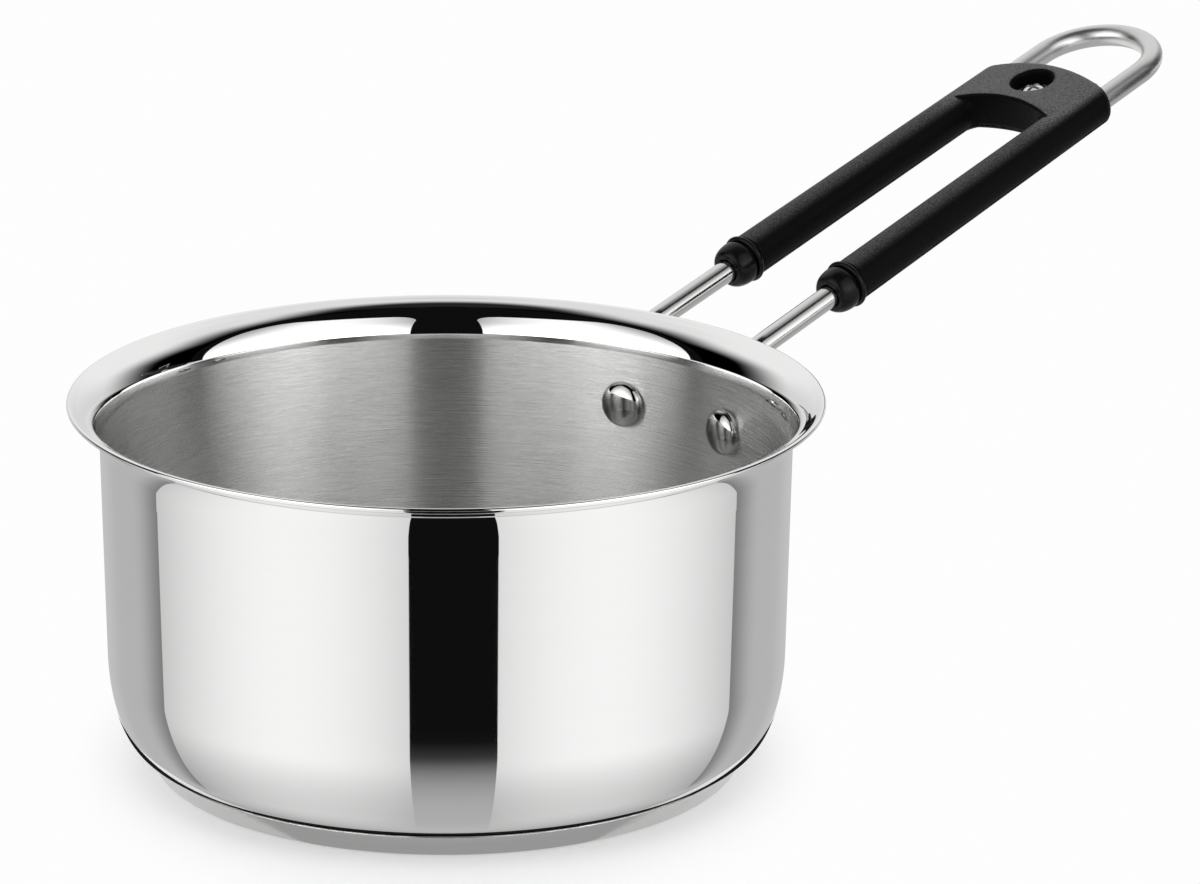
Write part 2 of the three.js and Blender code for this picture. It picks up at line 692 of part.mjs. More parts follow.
// The grip is modelled lying along X and then tilted with the wire.
const grip = new THREE.Group();
const form = gripForm();
grip.add(
  piece("grip_upper", gripUpper(form), grainedBlack),
  piece("grip_lower", gripLower(form), grainedBlack),
  piece("nose_cap_left", onLeg(noseCap(), 1), smoothBlack),
  piece("nose_cap_right", onLeg(noseCap(), -1), smoothBlack),
  piece("grip_screw", gripScrew(), satinSteel),
  piece("grip_nut", gripNut(), satinSteel),
);
grip.position.set(bodyRadius, 0, handleHeight);
grip.rotation.y = -HANDLE_SLOPE;
saucepan.add(grip);

export default saucepan;
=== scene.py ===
"""Looks of a steel saucepan with a riveted wire handle and a black grip.

Laid out as a Blender add-on and run as a script. Every piece is a surface worked out with numpy
in metres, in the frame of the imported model: +Z up through the vessel, +X along the handle.
"""
import math

import bpy
import numpy as np
from bpy.props import FloatProperty, FloatVectorProperty, PointerProperty
from bpy.types import NodeSocket, Operator, Panel, PropertyGroup
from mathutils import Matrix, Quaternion, Vector


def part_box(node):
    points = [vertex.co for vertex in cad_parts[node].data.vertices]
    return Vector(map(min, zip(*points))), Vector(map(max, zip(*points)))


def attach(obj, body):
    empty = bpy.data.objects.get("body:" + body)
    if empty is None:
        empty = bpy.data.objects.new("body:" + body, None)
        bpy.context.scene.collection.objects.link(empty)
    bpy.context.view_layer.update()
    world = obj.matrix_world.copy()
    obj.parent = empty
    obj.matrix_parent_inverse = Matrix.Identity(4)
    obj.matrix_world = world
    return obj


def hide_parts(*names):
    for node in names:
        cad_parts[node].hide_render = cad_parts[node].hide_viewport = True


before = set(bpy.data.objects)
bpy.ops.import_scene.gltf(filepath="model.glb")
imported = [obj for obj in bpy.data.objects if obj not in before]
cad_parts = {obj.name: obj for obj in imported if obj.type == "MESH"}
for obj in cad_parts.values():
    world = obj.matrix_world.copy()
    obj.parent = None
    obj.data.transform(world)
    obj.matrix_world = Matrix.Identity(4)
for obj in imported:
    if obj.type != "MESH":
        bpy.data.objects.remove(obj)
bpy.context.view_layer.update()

bl_info = {
    "name": "Saucepan with a wire handle",
    "version": (1, 0, 0),
    "blender": (4, 5, 0),
    "location": "3D View > Sidebar > Saucepan",
    "description": "Builds a polished saucepan with a riveted wire handle and a split black grip",
    "category": "Add Mesh",
}

MM = 0.001
QUARTER = math.pi / 2
TURN = 2 * math.pi
TOUCH = 1e-8  # points closer than this are one
BODY = "root"  # the one body of a pan with no moving parts
SIDES = {"left": 1, "right": -1}

# Fineness of the meshes: points round a turned piece, then points along the runs of an outline
VESSEL_SIDES = 288
WIRE_SIDES = 96
SMALL_SIDES = 72
RECESS_SIDES = 192
NUT_SIDES = 96
ARC_POINTS = 14
CORNER_POINTS, WALL_POINTS, FLARE_POINTS, LIP_POINTS = 44, 30, 60, 22
UNDERSIDE_POINTS, INSIDE_FLOOR_POINTS = 6, 24
CAP_FLOOR_POINTS, CAP_EDGE_POINTS = 12, 12
TAIL_POINTS, BEND_POINTS, ROD_POINTS, LOOP_POINTS = 16, 25, 24, 33
RIVET_DOME_POINTS, RIVET_EDGE_POINTS, UPSET_POINTS = 30, 8, 20
NOSE_DOME_POINTS, NOSE_TAIL_POINTS, NOSE_RING_POINTS = 22, 10, 16
SCREW_DOME_POINTS, NUT_ROWS = 120, 24
MOULDING_STEP = 0.36 * MM
MOULDING_MARGIN = 3 * MOULDING_STEP  # empty cells round a moulding
SHARP = {"disc": 30, "rivet": 50, "nose": 40, "grip": 48, "fastener": 35}  # degrees between faces

# Small shapes
BEAD_RUN = math.radians(12)  # part of the flare over which the sheet thickens to its edge
TAIL_POWER = 0.3  # of the sine by which the wire's flat end thins out at its tail
DOME_END = -0.12  # angle where the rivet's dome goes over into its round edge
RECESS_HUB = 1.35  # radius of the recess's round middle, in half slots
RECESS_RISE = 0.45  # the recess is shallower at its tips by this share
NUT_CORNERS = 6
NUT_FACE = 0.96  # radius of the nut's end faces, as a share of half its width
NUT_CHAMFER = math.radians(30)

TOLERANCE = MM  # a piece stands out of its node's box by no more than this
FINISH = "finish_"  # start of the materials' names, apart from the slots' own


# Properties

def length(name, description, millimetres):
    """A length in metres whose default is written in millimetres."""
    return FloatProperty(name=name, description=description, default=millimetres * MM,
                         subtype="DISTANCE", unit="LENGTH", precision=5)


def angle(name, description, degrees):
    """An angle in radians whose default is written in degrees."""
    return FloatProperty(name=name, description=description, default=math.radians(degrees),
                         subtype="ANGLE", unit="ROTATION")


def factor(name, description, value):
    """A share from 0 to 1."""
    return FloatProperty(name=name, description=description, default=value,
                         min=0, max=1, subtype="FACTOR")


def colour(name, description, value):
    """A linear colour."""
    return FloatVectorProperty(name=name, description=description, default=value,
                               min=0, max=1, size=3, subtype="COLOR")


def glow(name, description, value):
    """Brightness of a light surface, where 1 renders white."""
    return FloatProperty(name=name, description=description, default=value, min=0)


class VesselSizes(PropertyGroup):
    """Drawn steel vessel."""
    radius: length("Radius", "Outside of the wall where the flare starts", 80)
    height: length("Height", "Base underside to the top of the rim", 87.2)
    bottom: length("Bottom", "Underside of the vessel's sheet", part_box("pan_body")[0].z / MM)
    sheet: length("Sheet", "Thickness of the sheet", 0.8)
    lean: length("Lean", "The wall comes in by this much down to the corner", 1)
    corner_width: length("Corner width", "Elliptical lower corner, along the radius", 7.4)
    corner_height: length("Corner height", "Elliptical lower corner, along the height", 21.8)
    overhang: length("Overhang", "Edge of the pouring flare beyond the wall", 7.2)
    flare: length("Flare", "Bend radius of the flare at mid sheet", 8.6)
    bead: length("Bead", "Thickness of the upset edge of the rim", 1.15)


class BaseSizes(PropertyGroup):
    """Aluminium disc and the steel cap below it."""
    sheet: length("Cap sheet", "Thickness of the base cap", 0.6)
    inset: length("Inset", "Top edge of the cap inside the flat of the vessel", 0.7)
    draft: length("Draft", "The cap's side leans in by this much", 2.9)
    bend: length("Bend", "Bend of the cap between floor and side, at mid sheet", 1.4)
    groove: length("Groove", "Open groove between the cap and the vessel", 0.8)
    gap: length("Gap", "Between the disc and the cap's side", 0.3)


class WireSizes(PropertyGroup):
    """Hairpin wire of the handle."""
    slope: angle("Slope", "Rise of the handle", 16.5)
    diameter: length("Diameter", "Diameter of the wire", 5.5)
    spread: length("Spread", "Half distance between the rods at the wall", 17)
    rim_gap: length("Rim gap", "Between the rim's edge and the rods", 0.1)
    loop: length("Loop", "Radius of the hanging loop at the wire axis", 15.7)
    neck: length("Neck", "Straight wire between the grip and the loop's centre", 13)
    bend: length("Bend", "Rod to flat end, at the wire axis", 15)
    flat_thickness: length("Flat thickness", "Wire end pressed flat", 2.6)
    flat_width: length("Flat width", "Width of the pressed end", 9.6)
    flat_margin: length("Flat margin", "Flat end beyond the rivet", 1.3)
    flat_squareness: factor("Flat squareness", "Power of the pressed section, 1 for an ellipse", 0.6)
    seat_gap: length("Seat gap", "Between the flat end and the wall", 0.3)


class RivetSizes(PropertyGroup):
    """Dome-head rivets."""
    head: length("Head", "Diameter of the dome inside the vessel", 11.3)
    head_height: length("Head height", "Height of the dome with its edge", 3.2)
    head_edge: length("Head edge", "Upright edge of the dome", 0.9)
    shank: length("Shank", "Diameter of the shank", 4.6)
    tail: length("Tail", "Diameter of the upset head outside", 7.4)
    tail_height: length("Tail height", "Height of the upset head", 1.8)
    edge_round: length("Edge round", "Round of the dome's edge", 0.25)


class NoseSizes(PropertyGroup):
    """Caps on the front ends of the grip, as thicknesses from the wire outwards."""
    start: length("Start", "Front of the caps along the slope", 35.5)
    reach: length("Length", "Dome front to the back of the ring", 7.2)
    wall: length("Wall", "Solid front before the socket", 3.2)
    front_lip: length("Front lip", "Flat round the wire", 0.75)
    swell: length("Swell", "Widest part of the dome above the neck", 0.7)
    neck_wall: length("Neck wall", "Skin over the socket", 0.4)
    neck: length("Neck", "Between dome and ring", 0.4)
    dome_tail: length("Dome tail", "From the widest part back to the neck", 1.2)
    ring_height: length("Ring height", "Ring above the neck", 1.2)
    ring_width: length("Ring width", "Ring along the leg", 1.5)


class GripSizes(PropertyGroup):
    """The two black mouldings."""
    reach: length("Length", "Front of the nose caps to the free end", 110.8)
    clearance: length("Clearance", "Between pieces that seat on each other", 0.3)
    spigot_wall: length("Spigot wall", "Front of the mouldings inside the nose caps", 1.15)
    leg_wall: length("Leg wall", "Round the wire at the front of the legs", 2.35)
    leg_taper: length("Leg taper", "Less radius at the free end", 0.3)
    end_bow: length("End bow", "Radius of the free end seen from above", 55)
    end_round: length("End round", "Round of the free end's edges", 2.4)
    bridge: length("Bridge", "Length of the bridge on the centre line", 19.6)
    arch: length("Arch", "Radius of the hollow front of the bridge", 36)
    crown: length("Crown", "Top of the bridge above the wire plane", 6.5)
    drop: length("Drop", "Underside of the bridge below the wire plane", 4.6)
    front_round: length("Front round", "Upper front edge of the bridge", 0.6)
    under_round: length("Under round", "Lower front edge of the bridge", 2.6)
    fillet: length("Fillet", "Between the front of the bridge and the legs", 1.4)
    bore_round: length("Bore round", "Edge of the counterbore", 0.9)
    parting: length("Parting", "Seam of the mouldings below the wire plane", 2.9)
    parting_gap: length("Parting gap", "Width of the seam", 0.1)
    seam_round: length("Seam round", "Moulded edges at seam and channel", 0.35)
    key_wall: length("Key wall", "Bridge before and behind the key", 3.8)
    key_side: length("Key side", "Between the key and the wire", 2.8)
    key_roof: length("Key roof", "Key above the nut", 0.7)


class FastenerSizes(PropertyGroup):
    """Screw and nut of the grip."""
    seat: length("Seat", "Bridge under the screw head", 3.2)
    head: length("Head", "Diameter of the screw head", 6.2)
    head_height: length("Head height", "Height of the screw head", 2)
    shank: length("Shank", "Diameter of the screw", 3)
    tip_inset: length("Tip inset", "Screw end inside the nut's lower face", 0.3)
    counterbore: length("Counterbore", "Diameter of the counterbore", 11)
    recess: length("Recess", "Cross recess, tip to tip", 4.2)
    recess_slot: length("Recess slot", "Width of the recess arms", 1.0)
    recess_depth: length("Recess depth", "Depth at the middle", 1.6)
    recess_slant: length("Recess slant", "Slant of the recess walls", 0.22)
    nut: length("Nut", "Across the flats", 5.5)
    nut_height: length("Nut height", "Height of the nut", 2.3)


class Finishes(PropertyGroup):
    """Colours of the finishes."""
    polished: colour("Polished steel", "Reflection of the mirror finish", (0.86, 0.86, 0.855))
    rivet: colour("Rivets", "Reflection of the rivet heads", (0.48, 0.48, 0.476))
    satin: colour("Satin steel", "Reflection of the brushed inside", (0.75, 0.75, 0.74))
    cap: colour("Base cap", "Reflection of the base cap", (0.68, 0.68, 0.674))
    wire: colour("Wire", "Reflection of the drawn wire", (0.72, 0.72, 0.714))
    # Painted shade: the disc is near black to stand for the shade deep in the groove, not the aluminium's
    # own colour.
    disc: colour("Disc", "Painted shade of the heat disc", (0.05, 0.051, 0.052))
    moulding: colour("Moulding", "Grained black of the grip", (0.0025, 0.0025, 0.0025))
    # Painted light: a lighter grey on the grip's upward faces, standing in for the light that falls on its
    # tops.
    worn: colour("Painted top light", "Painted light where the grip faces up", (0.135, 0.135, 0.135))
    nose: colour("Nose caps", "Smooth black of the nose caps", (0.003, 0.003, 0.003))
    screw: colour("Screw", "Plating of screw and nut", (0.78, 0.78, 0.77))


class StageSettings(PropertyGroup):
    """Camera, floor and lights."""
    camera: FloatVectorProperty(name="Camera", description="Place of the camera", subtype="TRANSLATION",
                                unit="LENGTH", size=3, default=(-0.93796, -0.93796, 0.47808))
    target: FloatVectorProperty(name="Target", description="Point in the middle of the picture",
                                subtype="TRANSLATION", unit="LENGTH", size=3,
                                default=(0.041355, -0.009557, 0.069291))
    roll: angle("Roll", "Turn of the camera about its line of sight", 0.373)
    lens: FloatProperty(name="Lens", description="Focal length on a 36 mm sensor", default=180,
                        subtype="DISTANCE_CAMERA", unit="CAMERA")
    white: glow("White", "Background", 0.985)
    floor_glow: glow("Floor glow", "Share of the floor's white that isn't lit by the lamps", 0.3)
    floor_colour: factor("Floor colour", "Diffuse grey of the floor", 0.8)
    softbox: glow("Softbox", "Light of the two front panels on the matt surfaces", 1.25)
    shine: glow("Shine", "Brightness of the two front panels in reflections", 3.0)
    sweep: glow("Back sweep", "Brightness of the panel behind the pan", 0.95)
    lamp: FloatProperty(name="Ceiling lamp", description="Power of the soft lamp above", default=14,
                        subtype="POWER", unit="POWER")


class SaucepanSettings(PropertyGroup):
    """All settings of the pan."""
    vessel: PointerProperty(type=VesselSizes, name="Vessel", description="Drawn steel vessel")
    base: PointerProperty(type=BaseSizes, name="Base", description="Disc and cap")
    wire: PointerProperty(type=WireSizes, name="Wire", description="Wire handle")
    rivet: PointerProperty(type=RivetSizes, name="Rivets", description="Dome rivets")
    nose: PointerProperty(type=NoseSizes, name="Nose caps", description="Front caps of the grip")
    grip: PointerProperty(type=GripSizes, name="Grip", description="Black mouldings")
    fastener: PointerProperty(type=FastenerSizes, name="Fasteners", description="Screw and nut")
    finish: PointerProperty(type=Finishes, name="Finishes", description="Colours")
    stage: PointerProperty(type=StageSettings, name="Stage", description="Camera, floor and lights")


# Profiles and grids

def arc(centre, radii, start, end, steps=ARC_POINTS):
    """Elliptical arc: the centre plus the radii times cosine and sine of even angles."""
    turn = np.linspace(start, end, steps)
    return np.column_stack((centre[0] + radii[0] * np.cos(turn), centre[1] + radii[1] * np.sin(turn)))


def line(start, end, steps=2):
    """Straight run of even points."""
    return np.linspace(start, end, steps)


def profile(*runs):
    """Runs of points one after another, without the points that neighbours share."""
    points = np.concatenate([np.atleast_2d(run) for run in runs])
    apart = np.linalg.norm(np.diff(points, axis=0), axis=1) > TOUCH
    return points[np.concatenate(([True], apart))]


def turned(outline, sides):
    """Lathe: (radius, height) of each outline point carried round the Z axis.

    An outline that goes up on the outside and down on the inside gives faces that point outwards.
    """
    turn = np.linspace(0, TURN, sides, endpoint=False)
    radius, height = outline.T
    return np.stack((np.outer(radius, np.cos(turn)), np.outer(radius, np.sin(turn)),
                     np.outer(height, np.ones(sides))), axis=-1)


def placed(points, origin, x_axis, y_axis, z_axis):
    """Points of a right-handed frame in the pan's frame."""
    return np.asarray(origin) + points @ np.array([x_axis, y_axis, z_axis], float)


def smooth(value, start, end):
    """Smooth step from 0 at start to 1 at end."""
    t = np.clip((value - start) / (end - start), 0, 1)
    return t * t * (3 - 2 * t)


def grid_faces(index, wrap_rows, wrap_columns):
    """Corner indices of the quads between neighbouring rows and columns of a grid of indices."""
    ahead_row, ahead_column = np.roll(index, -1, axis=0), np.roll(index, -1, axis=1)
    both = np.roll(ahead_row, -1, axis=1)
    quads = np.stack((index, ahead_column, both, ahead_row), axis=-1)
    rows = slice(None) if wrap_rows else slice(-1)
    columns = slice(None) if wrap_columns else slice(-1)
    return quads[rows, columns].reshape(-1, 4)


def mesh_object(name, points, quads, sharp=None):
    """Object of quads, where a corner that repeats makes the quad a triangle.

    It is shaded smooth, apart from edges that turn by more than the sharp angle in degrees.
    """
    kept = quads != np.roll(quads, -1, axis=1)
    counts = kept.sum(axis=1)
    mesh = bpy.data.meshes.new(name)
    mesh.vertices.add(len(points))
    mesh.vertices.foreach_set("co", np.asarray(points, np.float32).ravel())
    mesh.loops.add(int(counts.sum()))
    mesh.loops.foreach_set("vertex_index", quads[kept].astype(np.int32))
    mesh.polygons.add(len(quads))
    mesh.polygons.foreach_set("loop_start", (np.cumsum(counts) - counts).astype(np.int32))
    mesh.update(calc_edges=True)
    mesh.shade_smooth()
    if sharp is not None:
        mesh.set_sharp_from_angle(angle=math.radians(sharp))
    made = bpy.data.objects.new(name, mesh)
    bpy.context.scene.collection.objects.link(made)
    return made


def grid_object(name, grid, wrap_rows=False, wrap_columns=True, sharp=None):
    """Object of a grid of points; a row that shrinks to a point becomes one corner."""
    rows, columns = grid.shape[:2]
    single = np.ptp(grid, axis=1).max(axis=1) < TOUCH
    counts = np.where(single, 1, columns)
    first = np.cumsum(counts) - counts
    index = first[:, None] + np.where(single[:, None], 0, np.arange(columns))
    points = np.concatenate([row[:count] for row, count in zip(grid, counts)])
    return mesh_object(name, points, grid_faces(index, wrap_rows, wrap_columns), sharp)


def add_uv(piece, along, around):
    """UV map of a grid that closes round its columns, in metres along and around."""
    mesh = piece.data
    corner = np.empty(len(mesh.loops), np.int32)
    mesh.loops.foreach_get("vertex_index", corner)
    uv = np.column_stack((along[corner], around[corner])).astype(np.float32)
    mesh.uv_layers.new(name="length_and_girth").data.foreach_set("uv", uv.ravel())


def seat(piece, node, slot, *materials):
    """Puts a finished piece in the place of its CAD node, with its materials."""
    for material in materials:
        piece.data.materials.append(material)
    low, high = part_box(node)
    corners = [Vector(corner) for corner in piece.bound_box]
    reach = max(max(low[k] - c[k], c[k] - high[k]) for c in corners for k in range(3))
    if reach > TOLERANCE:
        raise ValueError(f"{piece.name} stands {reach / MM:.2f} mm out of its node's box")
    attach(piece, BODY)
    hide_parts(node)
    return piece


# Vessel and base

class VesselLines:
    """Places of the vessel's profile, worked out from its sizes."""

    def __init__(self, v):
        self.half = v.sheet / 2
        self.sweep = math.acos(1 - v.overhang / v.flare)
        self.flare_start = v.height - self.half - v.flare * math.sin(self.sweep)
        self.flare_centre = (v.radius - self.half + v.flare, self.flare_start)
        self.corner_top = v.bottom + v.corner_height
        self.flat_radius = v.radius - v.lean - v.corner_width
        self.tilt = math.atan2(v.lean, self.flare_start - self.corner_top)

    def wall_radius(self, v, height):
        """Outside radius of the leaning wall at a height."""
        return v.radius - (self.flare_start - height) * math.tan(self.tilt)


def vessel_profile(v):
    """Outline of the sheet: up the outside, round the lip, down the inside to the middle.

    Flat bottom, elliptical corner that ends where it is parallel to the leaning wall, the wall,
    and a flare bent round a circle outside it. Returns the outline and its first satin row.
    """
    p = VesselLines(v)
    corner_centre = (p.flat_radius, p.corner_top)

    def side(offset, flare_radius):
        """One face of the sheet, bottom to rim, at an offset inwards from the outside."""
        radii = (v.corner_width - offset, v.corner_height - offset)
        ease = math.atan(math.tan(p.tilt) * radii[1] / radii[0])
        corner = arc(corner_centre, radii, -QUARTER, -ease, CORNER_POINTS)
        turn = np.linspace(math.pi - p.tilt, math.pi - p.sweep, FLARE_POINTS)
        swell = (v.bead - v.sheet) / 2 * smooth(turn, turn[-1] + BEAD_RUN, turn[-1])
        radius = flare_radius + math.copysign(1, flare_radius - v.flare) * swell
        flare = p.flare_centre + radius[:, None] * np.column_stack((np.cos(turn), np.sin(turn)))
        return profile(corner, line(corner[-1], flare[0], WALL_POINTS)), flare

    outer, outer_flare = side(0, v.flare - p.half)
    inner, inner_flare = side(v.sheet, v.flare + p.half)
    tip = (p.flare_centre[0] - v.flare * math.cos(p.sweep), v.height - p.half)
    heading = QUARTER - p.sweep
    lip = arc(tip, (v.bead / 2,) * 2, heading - QUARTER, heading + QUARTER, LIP_POINTS)
    underside = line((p.flat_radius / 2, v.bottom), outer[0], UNDERSIDE_POINTS)
    outside = profile((0, v.bottom), underside, outer, outer_flare, lip, inner_flare[::-1])
    floor = line(inner[0], (0, inner[0][1]), INSIDE_FLOOR_POINTS)
    return profile(outside, inner[::-1], floor), len(outside) - 1


def build_vessel(s):
    """Vessel turned from its outline, mirror outside and on the flare, satin inside."""
    outline, satin_row = vessel_profile(s.vessel)
    piece = grid_object("pan_body", turned(outline, VESSEL_SIDES))
    faces = np.zeros(len(piece.data.polygons), np.int32)
    faces[satin_row * VESSEL_SIDES:] = 1
    seat(piece, "pan_body", "polished_steel", polished_steel(s.finish), satin_steel(s.finish))
    piece.data.polygons.foreach_set("material_index", faces)


class CapLines:
    """Places of the base cap's profile, worked out from its sizes."""

    def __init__(self, s):
        b = s.base
        flat_radius = VesselLines(s.vessel).flat_radius
        self.half = b.sheet / 2
        self.top = s.vessel.bottom - b.groove
        self.rim = flat_radius - b.inset
        self.lean = math.atan2(self.top, b.draft)
        self.knee = self.rim - self.half - (self.top - b.sheet) / math.tan(self.lean)


def cap_profile(s):
    """Outline of the pressed dish: floor, bend, leaning side, round edge, and back inside it."""
    b, p = s.base, CapLines(s)
    centre = (p.knee - b.bend * math.tan(p.lean / 2), p.half + b.bend)
    turn = (-QUARTER, p.lean - QUARTER)
    outer = arc(centre, (b.bend + p.half,) * 2, *turn)
    inner = arc(centre, (b.bend - p.half,) * 2, *turn)
    edge = arc((p.rim - p.half, p.top - p.half), (p.half,) * 2, p.lean - QUARTER, p.lean + QUARTER,
               CAP_EDGE_POINTS)
    floor = line((centre[0] / 2, 0), outer[0], CAP_FLOOR_POINTS)
    return profile((0, 0), floor, outer, edge, inner[::-1], (0, b.sheet))


def disc_profile(s):
    """Outline of the disc in the cap: flat, chamfer along the bend, leaning side, upright edge."""
    b, p = s.base, CapLines(s)
    low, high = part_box("heat_core_disc")
    inset = (b.sheet + b.gap) / math.sin(p.lean)

    def side(height):
        return p.rim - (p.top - height) / math.tan(p.lean) - inset

    return profile((0, low.z), (side(low.z) - b.bend, low.z), (side(low.z + b.bend), low.z + b.bend),
                   (side(p.top), p.top), (side(p.top), high.z), (0, high.z))


def build_base(s):
    """Base cap and heat disc, both turned."""
    cap = grid_object("base_cap", turned(cap_profile(s), VESSEL_SIDES))
    seat(cap, "base_cap", "satin_steel", cap_steel(s.finish))
    disc = grid_object("heat_core_disc", turned(disc_profile(s), VESSEL_SIDES), sharp=SHARP["disc"])
    seat(disc, "heat_core_disc", "aluminium", disc_painted_shade(s.finish))


# Handle

class HandleLines:
    """Places of the handle: t along its slope from the wall, w across, h above the wire plane."""

    def __init__(self, s):
        v, w, n, g, f = s.vessel, s.wire, s.nose, s.grip, s.fastener
        vessel = VesselLines(v)
        self.slope, self.spread, self.wall = w.slope, w.spread, v.radius
        self.wire = w.diameter / 2
        rim = v.radius - vessel.half + v.overhang
        reach = math.sqrt(rim ** 2 - w.spread ** 2) - v.radius
        under = (self.wire + vessel.half + w.rim_gap) / math.cos(w.slope)
        self.height = v.height - vessel.half - reach * math.tan(w.slope) - under
        self.bend_trim = w.bend * math.tan((QUARTER - w.slope) / 2)
        self.rivet_height = self.height - self.bend_trim - s.rivet.tail / 2 - w.flat_margin
        self.wall_at_rivet = vessel.wall_radius(v, self.rivet_height)
        self.flat_axis = self.wall_at_rivet + w.seat_gap + w.flat_thickness / 2
        self.azimuth = math.asin(w.spread / self.flat_axis)
        self.origin = (self.flat_axis * math.cos(self.azimuth) - v.radius) / math.cos(w.slope)
        self.grip_end = n.start + g.reach
        self.loop_centre = self.grip_end + w.neck
        run = self.loop_centre - self.origin
        self.closing = math.atan2(w.spread, run) - math.asin(w.loop / math.hypot(run, w.spread))
        # Radii about the wire
        self.channel = self.wire + g.clearance
        self.spigot = self.channel + g.spigot_wall
        self.socket = self.spigot + g.clearance
        self.neck = self.socket + n.neck_wall
        self.leg = self.channel + g.leg_wall
        self.leg_end = self.leg - g.leg_taper
        # Places along the slope
        self.socket_front = n.start + n.wall
        self.nose_back = n.start + n.reach
        self.leg_start = self.nose_back + g.clearance
        self.bridge_front = self.grip_end - g.bridge
        self.screw = self.grip_end - g.bridge / 2
        # Heights above the wire plane
        self.nut_top = f.nut_height - g.drop
        self.key_top = self.nut_top + g.clearance + g.key_roof
        self.counterbore = self.key_top + g.clearance + f.seat
        self.screw_seat = self.counterbore + g.clearance

    def place(self, t, w, h):
        """Points of the handle in the pan's frame."""
        c, s = math.cos(self.slope), math.sin(self.slope)
        parts = self.wall + t * c - h * s, w, self.height + t * s + h * c
        return np.stack(np.broadcast_arrays(*parts), axis=-1)

    def half_spread(self, t):
        """Half distance between the rods, which close slightly towards the loop."""
        return self.spread - (t - self.origin) * math.tan(self.closing)

    def on_leg(self, points, side):
        """Points made about Z, carried to a leg of the handle with Z along the slope."""
        x, y, z = np.moveaxis(points, -1, 0)
        return self.place(z, side * self.half_spread(z) + x, y)


def wire_stations(s):
    """Path of half the wire, from the flat end to the tip of the loop.

    Upright flat end with a round tail, a circular bend into the slope, the straight rod, and the
    loop's circle. Each station has its place, heading, direction across, and the share of flatness.
    """
    w, p = s.wire, HandleLines(s)
    up = np.array([0.0, 0, 1])
    tangential = np.array([-math.sin(p.azimuth), math.cos(p.azimuth), 0])
    lateral = np.array([0.0, 1, 0])
    start = p.place(p.origin, w.spread, 0)
    touch = p.place(p.loop_centre + w.loop * math.sin(p.closing), w.loop * math.cos(p.closing), 0)
    outward = (touch - start) / np.linalg.norm(touch - start)
    side = outward - up * outward[2]
    side /= np.linalg.norm(side)
    turn = math.acos(outward[2])
    bend_start = start - up * p.bend_trim

    half = w.flat_width / 2
    tail = np.linspace(0, QUARTER, TAIL_POINTS)
    drop = p.rivet_height - w.flat_margin - half * np.cos(tail) - bend_start[2]
    flat_place = bend_start + drop[:, None] * up
    share = np.linspace(0, 1, BEND_POINTS)
    bend = (turn * share)[:, None]
    bend_place = bend_start + w.bend * (np.sin(bend) * up + (1 - np.cos(bend)) * side)
    rod = np.linspace(p.bend_trim, np.linalg.norm(touch - start), ROD_POINTS + 2)[1:-1]
    rod_place = start + rod[:, None] * outward
    loop = np.linspace(QUARTER - p.closing, 0, LOOP_POINTS)
    loop_place = p.place(p.loop_centre + w.loop * np.cos(loop), w.loop * np.sin(loop), 0)
    origin = p.place(0, 0, 0)

    place = np.concatenate((flat_place, bend_place, rod_place, loop_place))
    heading = np.concatenate((
        np.tile(up, (TAIL_POINTS, 1)), np.cos(bend) * up + np.sin(bend) * side,
        np.tile(outward, (ROD_POINTS, 1)), p.place(np.sin(loop), -np.cos(loop), 0) - origin))
    across = np.concatenate((
        np.tile(tangential, (TAIL_POINTS, 1)), tangential + share[:, None] * (lateral - tangential),
        np.tile(lateral, (ROD_POINTS, 1)), p.place(np.cos(loop), np.sin(loop), 0) - origin))
    across -= heading * np.sum(across * heading, axis=1, keepdims=True)
    across /= np.linalg.norm(across, axis=1, keepdims=True)
    flat = np.concatenate((np.ones(TAIL_POINTS), 1 - smooth(share, 0, 1),
                           np.zeros(ROD_POINTS + LOOP_POINTS)))
    width = p.wire + (half - p.wire) * flat
    width[:TAIL_POINTS] = half * np.sin(tail)
    thick = p.wire + (w.flat_thickness / 2 - p.wire) * flat
    thick[:TAIL_POINTS] *= np.sin(tail) ** TAIL_POWER
    return place, heading, across, flat, width, thick


def wire_grid(s):
    """Sections carried along the whole wire: a superellipse that goes from flat to round and back.

    The second half is the first one mirrored across the handle and travelled the other way.
    """
    place, heading, across, flat, width, thick = wire_stations(s)
    flip = np.array([1.0, -1, 1])
    place = np.concatenate((place, place[-2::-1] * flip))
    heading = np.concatenate((heading, -heading[-2::-1] * flip))
    across = np.concatenate((across, across[-2::-1] * flip))
    flat, width, thick = (np.concatenate((a, a[-2::-1])) for a in (flat, width, thick))
    normal = np.cross(heading, across)
    turn = np.linspace(0, TURN, WIRE_SIDES, endpoint=False)
    power = (1 + (s.wire.flat_squareness - 1) * flat)[:, None]
    c, n = np.cos(turn), np.sin(turn)
    wide = width[:, None] * np.sign(c) * np.abs(c) ** power
    high = thick[:, None] * np.sign(n) * np.abs(n) ** power
    grid = place[:, None] + wide[..., None] * across[:, None] + high[..., None] * normal[:, None]
    return grid, place, turn


def build_wire(s):
    """Handle wire, with a UV map in metres for the drawing streaks."""
    grid, place, turn = wire_grid(s)
    piece = grid_object("handle_wire", grid)
    travel = np.concatenate(([0], np.cumsum(np.linalg.norm(np.diff(place, axis=0), axis=1))))
    inner = np.repeat(travel[1:-1], WIRE_SIDES)
    along = np.concatenate((travel[:1], inner, travel[-1:]))
    girth = np.tile(np.abs(turn - math.pi) * s.wire.diameter / 2, len(travel) - 2)
    around = np.concatenate(([0], girth, [0]))
    add_uv(piece, along, around)
    seat(piece, "handle_wire", "wire_steel", wire_steel(s.finish))


